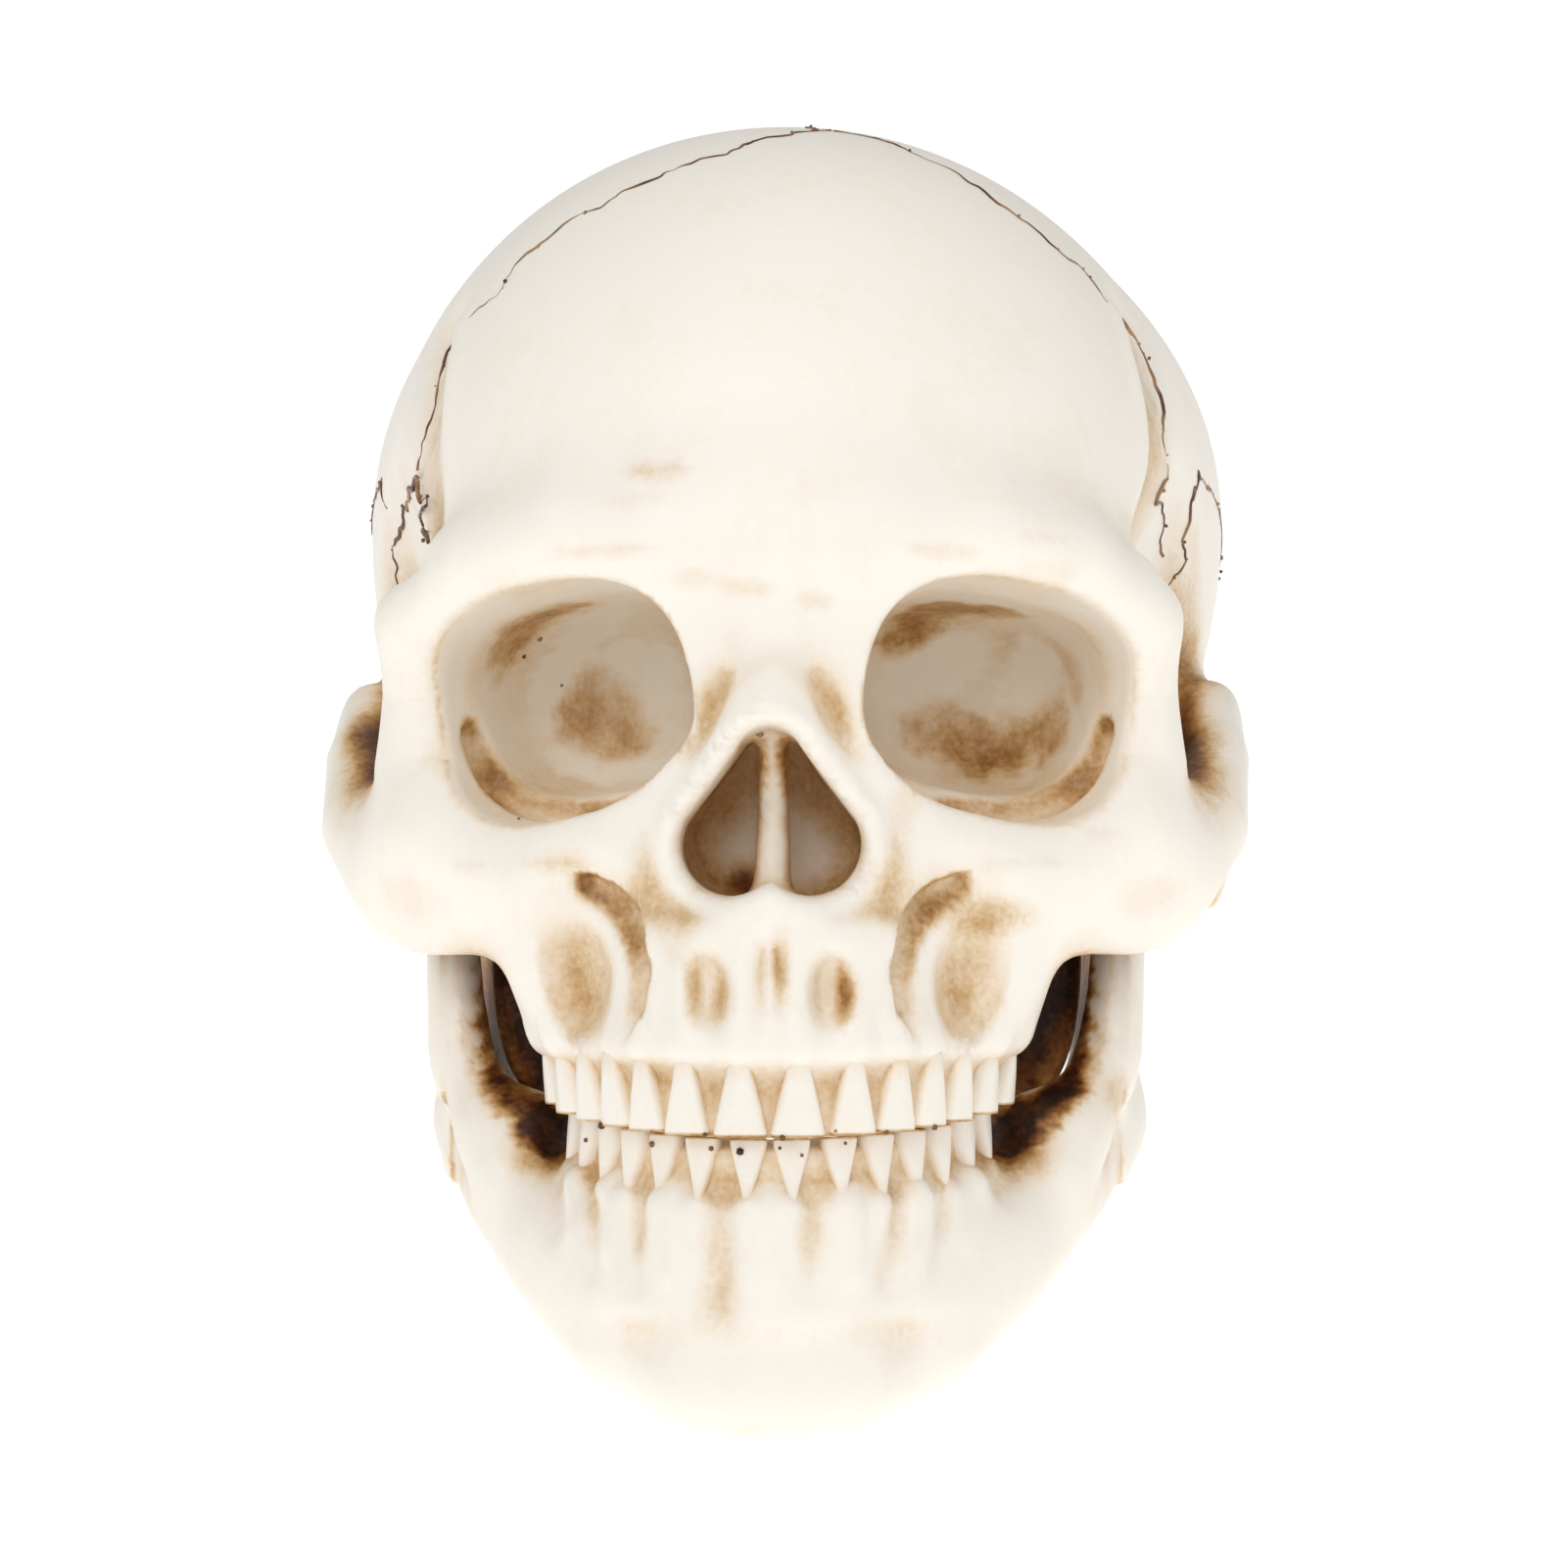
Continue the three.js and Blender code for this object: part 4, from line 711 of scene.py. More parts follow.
CRANIUM_WASH_AND_SHADE_POOLS += [
    (-14.6, 92, 39.4, 6.5, 14, 1.9, 0.24),  # forehead
    (-17.2, 92, 35, 8, 14, 2.9, 0.12),
    (10.9, 77, 81, 9, 14, 5, 0.1),
    (-21.9, 91, 28.6, 9.8, 14, 1.8, 0.26),  # brows
    (-10.6, 93, 24.7, 5.6, 14, 2.2, 0.17),
    (22.9, 91, 28.5, 7.9, 14, 2, 0.24),
    (37, 86, 31.1, 6.6, 14, 1.6, 0.18),
    (-2.7, 94, 23.3, 4.6, 14, 1.8, 0.17),
    (6.5, 93, 21.7, 3.6, 14, 1.7, 0.19),
    (-16, 90, -13.9, 3.4, 14, 6.3, 0.26),  # beside the nose
    (-12.5, 93, -23.9, 3.9, 14, 6.3, 0.18),
    (15.6, 90, -13.3, 3.7, 14, 7.9, 0.28),
    (18.9, 87, -4.6, 3.2, 14, 4.8, 0.22),
    (-30.9, 81, -12.8, 6.7, 14, 1.7, 0.2),  # cheeks
    (-42.6, 74, -13.2, 4.6, 14, 1.6, 0.2),
    (36.4, 78, -12.8, 8.1, 14, 1.9, 0.2),
    (46.2, 72, -8.5, 5.5, 14, 1.9, 0.15),
    (29.6, 79, -20.2, 8.4, 14, 3, 0.4),  # over the right canine hollow
    (10.5, 93, -30.9, 2.6, 14, 4.7, 0.32),  # hollows beside the spine
    (-6.2, 94, -32.3, 2.6, 14, 4.2, 0.14),
    (2, 96, -27.2, 1.8, 14, 6.2, 0.22),
    (0, 80, -10, 1.5, 14, 8, -0.22),  # ridge in the nose
    (-4.5, 70, -15.5, 2.8, 6, 4, 0.45),
    (-64.5, 34, 10.4, 4, 8, 8, 0.45),  # behind the left outer rim: wash, and painted shade in the temple hollow
]
CRANIUM_SMEARS = [
    ([(-40.5, 54, 20), (-38, 57, 24), (-31, 60, 26)], 0.4, 5.5),  # left bowl
    ([(-25, 39.5, 9), (-31, 39.7, 12)], 0.3, 6.0),
    ([(-14, 44, 20), (-13, 45, 12)], 0.12, 4.0),
    ([(-26, 50, 24), (-31, 44, 20.5), (-36, 41, 16), (-37.5, 41, 10)], -0.5, 3.0),
    ([(-24, 41, 20.5), (-18, 43, 18)], -0.5, 2.8),
    ([(-33, 42, 4), (-26, 42, 2), (-18, 45, 3)], -0.2, 2.6),
    ([(18.4, 45.5, 22.3), (23.3, 52, 26), (33, 56, 27)], 0.38, 4.5),  # right bowl
    ([(22, 40.4, 9), (30, 41, 6), (40, 44, 8)], 0.36, 5.0),
    ([(44, 50, 14), (43, 50, 20)], 0.16, 3.5),
    ([(19, 43, 16), (27, 42.1, 19.5)], -0.4, 4.0),
    ([(38, 45, 19.5), (35, 43, 14)], -0.42, 3.6),
]
MANDIBLE_WASH_AND_SHADE_POOLS = both_sides([
    (41, 20, -32, 9, 17, 24, 1.2),  # inner side of the upright branches: painted shade, nearly black, in the gap behind the upper jaw
    (54, 28, -32, 5, 20, 26, -0.3),  # their outer side
    (52, 30, -51, 6, 14, 10, -0.45),
    (50.5, 43, -37, 4, 10, 13, -0.26),  # their front edge
    (36, 57, -54, 4, 10, 3.5, 0.2),  # beside the last teeth
])
MANDIBLE_WASH_AND_SHADE_POOLS += [
    (-6.6, 92, -66.6, 4.5, 14, 9.4, 0.2),  # chin
    (-3.3, 93, -73.6, 7.9, 14, 3.9, 0.1),
    (5.5, 92, -63, 3.4, 14, 6, 0.18),
    (12.2, 90, -68, 4.7, 14, 4.5, 0.1),
    (16.8, 87, -62.8, 3, 14, 5.3, 0.13),
    (23.4, 80, -60.9, 1.9, 14, 5.4, 0.14),
    (-18.2, 86, -62.6, 1.8, 14, 6.4, 0.18),
    (-24.9, 78, -60.4, 1.8, 14, 6, 0.21),
    (0, 90, -78, 24, 14, 4.5, -0.12),  # over the lower border
    (-50.6, 37.6, -48.4, 2.7, 14, 3.8, 0.3),  # upright branches
    (48.6, 48.2, -45.8, 2.3, 14, 4.3, 0.16),
    (-2.4, 89, -88.9, 3.7, 14, 1.3, 0.2),
]
# Painted shade: near-black lines down the inner side of each jaw branch, where the gap behind the
# upper jaw lies in shade
INNER_BRANCH = [(43, 37, -18), (42.5, 42, -34), (40.5, 50, -44), (34.5, 54.5, -50.5)]
MANDIBLE_SHADE_LINES = [
    (knots, 0.85, 3.8) for knots in (mirrored(INNER_BRANCH), INNER_BRANCH)
]

# %% [markdown]
# ## Fine relief
# The last ridges and grooves are lines on the surface, each with a height and a width. They are
# added once the mesh is there: each corner moves out or in along the surface's own slope.

# %% Ridges, and grooves where the height is below zero
LEFT_CREASE = [
    (-46.7, 58.7, 67.1), (-47.3, 62.6, 60.6), (-47.5, 65.6, 52.8), (-47, 67.7, 44.2),
    (-47.5, 69.5, 37.5), (-47.5, 75, 32),
]
RIGHT_CREASE = [
    (49.6, 50.5, 69.6), (51.4, 54.5, 61.5), (52.8, 55.9, 53.9), (52.8, 57.5, 46),
    (52.6, 61, 39), (53, 69.4, 31),
]
CRANIUM_RELIEF = [
    (LEFT_CREASE, 0.8, 2.2),
    ([(x - 4, y - 7.5, z) for x, y, z in LEFT_CREASE], -2.0, 5.5),
    (RIGHT_CREASE, 0.8, 2.2),
    ([(x + 4, y - 7.5, z) for x, y, z in RIGHT_CREASE], -2.0, 5.5),
    ([(-6, 92.2, 11.6), (-8.5, 90.4, 7.2), (-11.1, 90.5, 2)], -1.1, 1.6),  # tear grooves
    ([(6.5, 92.2, 11.6), (9, 90.4, 7.2), (11.6, 90.5, 2)], -1.1, 1.6),
]
MANDIBLE_RELIEF = [
    ([(-21.7, 79.3, -56.4), (-22, 81.6, -60.9), (-22.5, 82.5, -65.5)], 0.8, 1.8),
    ([(-13, 87.9, -57.2), (-13.2, 89.3, -63), (-13.4, 89.6, -68.2)], 0.9, 2.0),
    ([(0, 91.9, -57.9), (-0.1, 93.1, -63.3), (-0.2, 93.4, -68.4)], 0.8, 2.0),
    ([(11, 89.3, -57.5), (11.2, 90.7, -63.5), (11.2, 90.8, -68)], 0.9, 2.0),
    ([(20.3, 83.1, -57), (20.1, 84.3, -61.3), (19.5, 85.4, -65.8)], 0.8, 1.8),
    ([(-29.2, 65.1, -55.1), (-28.1, 73.2, -59.4), (-27.7, 75.9, -63.3)], 0.6, 1.8),
    ([(26.9, 72.6, -56), (26.6, 75.7, -60.5), (26.1, 78.2, -64.3)], 0.6, 1.8),
    ([(-25.2, 73.5, -56), (-24.9, 78.5, -60.4), (-24.4, 80.7, -68)], -0.8, 1.8),
    ([(-18.1, 84.1, -57), (-18.2, 85.7, -62.6), (-18.1, 87.1, -69.7)], -0.8, 1.8),
    ([(-6.7, 91.2, -58.3), (-6.6, 92.3, -66.6), (-6.6, 92.3, -72)], -0.8, 2.6),
    ([(5.5, 91.7, -58.3), (5.5, 92.5, -63), (5.2, 92.8, -69.1)], -0.8, 2.0),
    ([(16.8, 85.5, -57.7), (16.8, 87.2, -62.8), (15.4, 88.7, -69.4)], -0.8, 1.8),
    ([(23.6, 78.9, -56.7), (23.4, 80, -60.9), (22, 83.4, -67.3)], -0.7, 1.6),
    ([(-33, 56, -52), (-31.6, 65.4, -57.2), (-30.8, 72.3, -62.9)], -1.2, 2.4),
    ([(33, 54, -51), (32.8, 59.6, -54.6), (31.7, 66.7, -58.3)], -1.2, 2.4),
]
LIP_HEIGHT, LIP_PLACE, LIP_WIDTH = 1.1, 1.7, 1.5
LIP_BACK, LIP_FADE = 80, 4  # how far forward the lip begins, and how soon it is whole


def nose_lip(points):
    """The raised lip round the nose."""
    from_edge = nose_edge((np.abs(points[:, 0]), points[:, 1], points[:, 2]))
    forward = np.clip((points[:, 1] - LIP_BACK) / LIP_FADE, 0, 1)
    return LIP_HEIGHT * forward * np.exp(-(((from_edge - LIP_PLACE) / LIP_WIDTH) ** 2))


# %% From a form to a painted mesh
# Wash for a corner that is wholly enclosed, wiped off everywhere, and the most that this gives
ENCLOSED_WASH, WIPED_OFF, MOST_WASH = 1.25, 0.12, 0.58
# Wash wiped off each millimetre of a ridge and left in each millimetre of a groove
OFF_RIDGE, IN_GROOVE = 0.26, 0.14
# Between the crowns: how much, how far before the gum's edge it begins, how soon it is whole, and
# how wide it lies as a share of the row
GAP_WASH, GAP_LEAD, GAP_FADE, GAP_REACH = 0.3, 0.5, 3, 1.6
RAGGED, SMEAR_AND_SHADE_EDGE = 0.9, 4  # how uneven the smears and painted shade lines are, and how sharply they end
FULL_WASH = 0.92


def put(name, data):
    """A new object in the scene."""
    made = bpy.data.objects.new(name, data)
    bpy.context.collection.objects.link(made)
    return made


def mesh_piece(name, points, faces, wash_and_shade=None):
    """A mesh at the frame's origin; the standing pose mirrors, so each face is turned round."""
    mesh = bpy.data.meshes.new(name)
    mesh.from_pydata(stand(points).tolist(), [], [face[::-1] for face in faces])
    mesh.polygons.foreach_set("use_smooth", np.ones(len(mesh.polygons), dtype=bool))
    if wash_and_shade is not None:
        layer = mesh.attributes.new("wash_and_shade", "FLOAT", "POINT")
        layer.data.foreach_set("value", np.clip(wash_and_shade, 0, FULL_WASH).astype(np.float32))
    mesh.update()
    return put(name, mesh)


def outward_of(form, points):
    slope = slope_of(form, points)
    return slope / np.maximum(np.linalg.norm(slope, axis=1), TINY)[:, None]


def between_teeth(points, row, upper):
    """Wash left on the wall behind the crowns."""
    x, y, z = points.T
    gum_line = height_at(UPPER_GUM if upper else LOWER_GUM, y)
    depth = (gum_line - z) if upper else (z - gum_line)
    near = np.abs(from_row((np.abs(x), y, z), row)) < row["half"] * GAP_REACH
    left = np.clip((depth + GAP_LEAD) / GAP_FADE, 0, 1) * GAP_WASH
    return np.where(near & (y > row["back"]), left, 0)


def painted(name, form, axes, reach, paint, lines, row, upper):
    points, quads = surface(form, axes, reach)
    outward = outward_of(form, points)
    wash_and_shade = ENCLOSED_WASH * enclosed(form, points, outward) - WIPED_OFF
    wash_and_shade = np.minimum(wash_and_shade, MOST_WASH)
    height = along_lines(points, lines)
    if upper:
        height += nose_lip(points)
    wash_and_shade_pools, smears_and_shade_lines = paint
    wash_and_shade += pooled_wash_and_shade(points, wash_and_shade_pools) + along_lines(points, smears_and_shade_lines, RAGGED, SMEAR_AND_SHADE_EDGE)
    wash_and_shade += between_teeth(points, row, upper)
    wash_and_shade -= np.where(height > 0, OFF_RIDGE, IN_GROOVE) * height
    points = points + outward * height[:, None]
    piece = mesh_piece(name, points, quads.tolist(), wash_and_shade)
    print(name, "corners:", len(points), "faces:", len(quads), "wash_and_shade:", round(wash_and_shade.mean(), 3))
    return piece


# %% [markdown]
# ## Cranium and jaw
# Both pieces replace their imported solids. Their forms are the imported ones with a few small
# differences, read at a finer cell.

# %% The two castings
CELL = 1.2
COARSE = 2 * CELL


def grid(across, back, middle, front, low, high, top):
    forward = np.concatenate([span(back, middle, COARSE)[:-1], span(middle, front, CELL)])
    up = np.concatenate([span(low, high, CELL)[:-1], span(high, top, COARSE)])
    return span(-across, across, CELL), forward, up


# The reach to each side; the back, where fine cells begin and the front; the bottom, where fine
# cells end and the top
CRANIUM_GRID = grid(82, -116, 26, 104, -54, 40, 116)
MANDIBLE_GRID = grid(66, 0, 2, 98, -98, 2, 4)
skull = painted("bone_cranium", cranium, CRANIUM_GRID, CELL / 2,
                (CRANIUM_WASH_AND_SHADE_POOLS, CRANIUM_SMEARS), CRANIUM_RELIEF, UPPER_ROW, True)
jaw = painted("bone_mandible", mandible, MANDIBLE_GRID, CELL / 2,
              (MANDIBLE_WASH_AND_SHADE_POOLS, MANDIBLE_SHADE_LINES), MANDIBLE_RELIEF, LOWER_ROW, False)

# %% [markdown]
# ## Teeth
# A cast tooth is a plain tapering crown, wider at its biting edge than at the gum, with brown
# left in the gaps. Each is a loft of rounded rings, and the same rings serve both rows.

# %% Crowns
RING_SIDES = 20
# Rings: share of the way from gum to edge, from neck to full width, and to the edge's thinness
CROWN_RINGS = [
    (-0.3, -0.15, 0), (0, 0, 0), (0.12, 0.12, 0.08), (0.3, 0.34, 0.2), (0.5, 0.6, 0.4),
    (0.7, 0.82, 0.66), (0.85, 0.96, 0.86), (0.94, 1, 0.95), (0.985, 0.96, 1),
    (1, 0.85, 1.04),
]
TOOTH_GAP, CROWN_SET = 0.3, 0.12
SQUARE_ACROSS, SQUARE_DEEP = 0.48, 0.7  # how square a crown's ring is; 1 is round
LEANS, CHIPS, CHIP_DEPTH = (-0.15, 0.15), (-0.1, 0.25), 0.012
# Wash at the necks, the sides and the bite, and what is wiped off all over
NECK_WASH, SIDE_WASH, BITE_WASH, CROWN_WIPED = 0.16, 0.5, 0.5, 0.03
# Where the necks' wash ends, the sides' curve and fade, and where the bite's wash begins
NECK_END, SIDE_CURVE, SIDE_FADE, BITE_START = 0.35, 9, 0.7, 0.97


def crown(row, tooth, side, gum_line, gap, rng):
    turn_share, width, depth, edge_depth = tooth
    x, y, out = place_on_row(row, turn_share)
    root, edge = height_at(gum_line, y), height_at(BITE, y) + gap
    angles = np.arange(RING_SIDES) * 2 * math.pi / RING_SIDES
    cos, sin = np.cos(angles), np.sin(angles)
    u = np.sign(cos) * np.abs(cos) ** SQUARE_ACROSS
    v = np.sign(sin) * np.abs(sin) ** SQUARE_DEEP
    lean, chip = rng.uniform(*LEANS), rng.uniform(*CHIPS)
    rings, washes = [], []
    for rise, spread, thin in CROWN_RINGS:
        half_width = (width - TOOTH_GAP) / 2 * (row["neck"] + (1 - row["neck"]) * spread)
        half_depth = (depth + (edge_depth - depth) * thin) / 2
        front = row["half"] * (1 - CROWN_SET * thin) - half_depth
        outward = front + v * half_depth
        across = u * half_width + lean * rise
        px = side * (x + out[0] * outward + out[1] * across)
        py = y + out[1] * outward - out[0] * across
        pz = np.full(RING_SIDES, root + (edge - root) * rise * (1 - CHIP_DEPTH * chip))
        rings.append(np.stack([px, py, pz], 1))
        at_neck = NECK_WASH * np.clip(1 - rise / NECK_END, 0, 1)
        at_sides = SIDE_WASH * np.abs(u) ** SIDE_CURVE * (1 - SIDE_FADE * rise)
        at_bite = BITE_WASH if rise > BITE_START else 0
        washes.append(at_neck + at_sides + at_bite - CROWN_WIPED)
    return np.concatenate(rings), np.concatenate(washes)


def crown_faces(start, flip):
    faces = []
    for level in range(len(CROWN_RINGS) - 1):
        for n in range(RING_SIDES):
            a, b = level * RING_SIDES + n, level * RING_SIDES + (n + 1) % RING_SIDES
            faces.append((a, b, b + RING_SIDES, a + RING_SIDES))
    return [tuple(start + i for i in (f[::-1] if flip else f)) for f in faces]


def crown_caps(start, flip):
    """Each end as strips of four-cornered faces across the ring."""
    caps = []
    half = RING_SIDES // 2
    for level, turned in ((0, True), (len(CROWN_RINGS) - 1, False)):
        base = start + level * RING_SIDES
        for n in range(half - 1):
            a, b = base + n, base + n + 1
            c, d = base + RING_SIDES - 2 - n, base + RING_SIDES - 1 - n
            face = (a, b, c, d)
            caps.append(face[::-1] if turned != flip else face)
    return caps


def tooth_row(name, row, teeth, gum_line, gap, seed):
    rng = np.random.default_rng(seed)
    points, washes, faces = [], [], []
    for side in (-1, 1):
        for tooth in teeth:
            start = sum(len(p) for p in points)
            p, w = crown(row, tooth, side, gum_line, gap, rng)
            flip = (side > 0) == (gap < 0)
            points.append(p)
            washes.append(w)
            faces += crown_faces(start, flip) + crown_caps(start, flip)
    piece = mesh_piece(name, np.concatenate(points), faces, np.concatenate(washes))
    print(name, "crowns:", 2 * len(teeth), "faces:", len(faces))
    return piece


upper_teeth = tooth_row("teeth_upper", UPPER_ROW, UPPER_TEETH, UPPER_GUM, BITE_GAP / 2, 11)
lower_teeth = tooth_row("teeth_lower", LOWER_ROW, LOWER_TEETH, LOWER_GUM, -BITE_GAP / 2, 12)

# %% [markdown]
# ## Sutures
# The plates of the braincase meet in wandering seams. On the casting each is a fine groove with
# brown caught in it, broken here and there, with small pits beside it. It is drawn as the brown
# alone, by Geometry Nodes: a tube along a path on the surface, as thick as the path's own values
# say, and pits set at random along it.

# %% Wandering paths on the bone
LEFT_CORONAL = [
    (7.8, 53.1, 96.7), (1.9, 58.5, 95), (-3.3, 64.1, 92.1), (-10, 68.1, 88.6),
    (-16.2, 68.4, 86.6), (-22.9, 69.2, 82.8), (-30.8, 66.8, 79.4), (-36, 65, 76.1),
    (-40.7, 65.3, 69.8), (-44.1, 62.4, 67.8), (-47.4, 58.9, 65.5), (-49.2, 58.6, 61.8),
    (-49.6, 61, 56.1), (-50.6, 60.7, 52.2), (-52.3, 58.4, 49.6), (-53.1, 57.1, 45.7),
]
RIGHT_CORONAL = [
    (7.8, 53.1, 96.7), (15.6, 53.9, 94.8), (21.7, 56.6, 91.5), (27.5, 58.9, 87.3),
    (33.3, 59.1, 83.2), (39.8, 57.2, 78.4), (44.7, 52.9, 75.4), (48.5, 51.7, 70.5),
    (52.3, 46.8, 67.3), (55.2, 44.8, 62.1), (56.6, 44.6, 57.5), (56.6, 47.5, 52),
    (57.2, 45, 48), (57.9, 40.7, 46.5), (56.3, 41.9, 43.3), (57.5, 35.1, 41.9),
    (57.6, 31, 38.9), (57.5, 28.5, 36.2),
]
# Short branches at the temples
LEFT_REAR = [
    (-53.3, 56.4, 44.3), (-55.8, 46.4, 44.3), (-57.4, 38.1, 43.6), (-59.1, 32.4, 42.9),
    (-59.5, 29.7, 41.2), (-62.3, 23.5, 39.5), (-61.8, 22.3, 36.4), (-62.1, 21, 33),
]
LEFT_FRONT = [
    (-53.3, 56.4, 44.3), (-53, 56.1, 41.4), (-51.1, 61.1, 40.2), (-53, 54.5, 40),
    (-55.4, 46, 39.4), (-56.1, 38, 38.4), (-51, 61, 36), (-50.4, 65.5, 33.7),
]
RIGHT_REAR = [
    (64.3, 20.9, 50.5), (63.1, 25.8, 47.1), (62.3, 26.8, 44.6), (62.2, 25.7, 42.4),
    (61, 25.4, 39.2), (62.5, 21.6, 37.1), (60.5, 22.7, 34.4), (59.5, 24, 30),
]
SAGITTAL = [
    (6, 54, 96.5), (0.3, 20, 104), (0, -10, 106), (-0.4, -40, 101), (0, -65, 89),
    (0, -80, 75),
]
SQUAMOSAL = [
    (62.3, 26.3, 44.8), (64.3, 20.9, 50.5), (68, 5, 50), (71, -14, 46), (71, -28, 36),
    (67, -40, 22),
]
LAMBDOID = [(0, -80, 75), (16, -88, 62), (34, -84, 46), (50, -70, 30), (60, -52, 14)]


def resampled(knots, step):
    knots = np.array(knots, float)
    lengths = np.linalg.norm(np.diff(knots, axis=0), axis=1)
    along = np.concatenate([[0], np.cumsum(lengths)])
    count = int(along[-1] / step)
    at = np.linspace(0, along[-1], count)
    return np.stack([np.interp(at, along, knots[:, n]) for n in range(3)], 1), at


def wandering(rng, at, waves):
    """A zigzag: a sum of smooth random waves, each with its length and height in millimetres."""
    total = np.zeros(len(at))
    for length, height in waves:
        knots = np.arange(0, at[-1] + 2 * length, length)
        total += np.interp(at, knots, rng.uniform(-height, height, len(knots)))
    return total


SUTURE_STEP = 0.5
# How a seam thins out and breaks: waves, and the mean, change and limits as shares of its girth
BREAKS = [(9.0, 1.0), (2.5, 0.8)]
MEAN_GIRTH, GIRTH_CHANGE, THINNEST, THICKEST = 0.75, 0.5, 0.06, 1.2


def suture_path(knots, seed, waves, girth):
    rng = np.random.default_rng(seed)
    points, at = resampled(knots, SUTURE_STEP)
    points = slid(outer_cranium, points, reach=12, rounds=4)
    along = np.gradient(points, axis=0)
    along /= np.linalg.norm(along, axis=1)[:, None]
    sideways = np.cross(outward_of(outer_cranium, points), along)
    points = points + sideways * wandering(rng, at, waves)[:, None]
    points = slid(outer_cranium, points, reach=6)
    breaks = wandering(rng, at, BREAKS)
    return points, girth * np.clip(MEAN_GIRTH + GIRTH_CHANGE * breaks, THINNEST, THICKEST)


# %% Geometry Nodes: a groove and its pits along a path


def add(tree, kind, settings=None, inputs=None):
    """Adds a node, with its settings and its inputs: values, or other nodes' sockets."""
    made = tree.nodes.new(kind)
    for name, value in (settings or {}).items():
        setattr(made, name, value)
    for name, value in (inputs or {}).items():
        socket = made.inputs[name]
        if isinstance(value, bpy.types.NodeSocket):
            tree.links.new(value, socket)
        else:
            socket.default_value = value
    return made


def seam_tree():
    tree = bpy.data.node_groups.new("seam_with_pits", "GeometryNodeTree")
    new_socket = tree.interface.new_socket
    new_socket("Geometry", in_out="OUTPUT", socket_type="NodeSocketGeometry")
    new_socket("Geometry", in_out="INPUT", socket_type="NodeSocketGeometry")
    for name, value in (("Pit size", 0.00035), ("Pit spread", 0.0006), ("Pits kept", 0.18)):
        new_socket(name, in_out="INPUT", socket_type="NodeSocketFloat").default_value = value
    new_socket("Finish", in_out="INPUT", socket_type="NodeSocketMaterial")
    given = tree.nodes.new("NodeGroupInput").outputs
    curve = add(tree, "GeometryNodeMeshToCurve", inputs={"Mesh": given["Geometry"]})
    girth = add(tree, "GeometryNodeInputNamedAttribute", {"data_type": "FLOAT"}, {"Name": "girth"})
    ring = add(tree, "GeometryNodeCurvePrimitiveCircle", inputs={"Resolution": 6, "Radius": 1.0})
    tube = add(tree, "GeometryNodeCurveToMesh",
               inputs={"Curve": curve.outputs[0], "Profile Curve": ring.outputs["Curve"],
                       "Scale": girth.outputs["Attribute"], "Fill Caps": True})
    chosen = add(tree, "FunctionNodeRandomValue", {"data_type": "BOOLEAN"},
                 {"Probability": given["Pits kept"], "Seed": 5})
    shift = add(tree, "FunctionNodeRandomValue", {"data_type": "FLOAT_VECTOR"},
                {"Min": (-1, -1, -1), "Max": (1, 1, 1), "Seed": 6})
    away = add(tree, "ShaderNodeVectorMath", {"operation": "SCALE"},
               {0: shift.outputs["Value"], "Scale": given["Pit spread"]})
    moved = add(tree, "GeometryNodeSetPosition",
                inputs={"Geometry": given["Geometry"], "Offset": away.outputs[0]})
    pit = add(tree, "GeometryNodeMeshIcoSphere", inputs={"Radius": 1.0, "Subdivisions": 1})
    size = add(tree, "FunctionNodeRandomValue", {"data_type": "FLOAT"}, {2: 0.4, 3: 1.0, "Seed": 7})
    scale = add(tree, "ShaderNodeMath", {"operation": "MULTIPLY"},
                {0: size.outputs[1], 1: given["Pit size"]})
    pits = add(tree, "GeometryNodeInstanceOnPoints",
               inputs={"Points": moved.outputs[0], "Selection": chosen.outputs[3],
                       "Instance": pit.outputs["Mesh"], "Scale": scale.outputs[0]})
    both = add(tree, "GeometryNodeJoinGeometry")
    for made in (tube, pits):
        tree.links.new(made.outputs[0], both.inputs[0])
    real = add(tree, "GeometryNodeRealizeInstances", inputs={"Geometry": both.outputs[0]})
    finish = add(tree, "GeometryNodeSetMaterial",
                 inputs={"Geometry": real.outputs[0], "Material": given["Finish"]})
    end = tree.nodes.new("NodeGroupOutput")
    tree.links.new(finish.outputs[0], end.inputs[0])
    return tree


def grown(name, base, tree, values):
    """Puts a tree on a base mesh, sets its inputs and keeps the result as a plain mesh."""
    carrier = put(name + "_base", base)
    modifier = carrier.modifiers.new("made", "NODES")
    modifier.node_group = tree
    sockets = {s.name: s.identifier for s in tree.interface.items_tree if s.in_out == "INPUT"}
    for key, value in values.items():
        modifier[sockets[key]] = value
    bpy.context.view_layer.update()
    seen = carrier.evaluated_get(bpy.context.evaluated_depsgraph_get())
    mesh = bpy.data.meshes.new_from_object(seen)
    carrier.modifiers.remove(modifier)
    bpy.data.objects.remove(carrier)
    mesh.name = name
    return put(name, mesh)


def path_mesh(name, paths):
    points = np.concatenate([p for p, _ in paths])
    girths = np.concatenate([g for _, g in paths]) * MM
    edges, start = [], 0
    for p, _ in paths:
        edges += [(n, n + 1) for n in range(start, start + len(p) - 1)]
        start += len(p)
    mesh = bpy.data.meshes.new(name)
    mesh.from_pydata(stand(points).tolist(), edges, [])
    layer = mesh.attributes.new("girth", "FLOAT", "POINT")
    layer.data.foreach_set("value", girths.astype(np.float32))
    return mesh


# %% [markdown]
# ## Finishes
# Resin is cast in a mould, sprayed with ivory paint and washed with thinned brown. The paint is
# satin, and a little glossier where the wash pooled. One material reads the wash and painted shade
# kept in the mesh, breaks it up as a brush and a rag would, and turns it into colour and gloss.

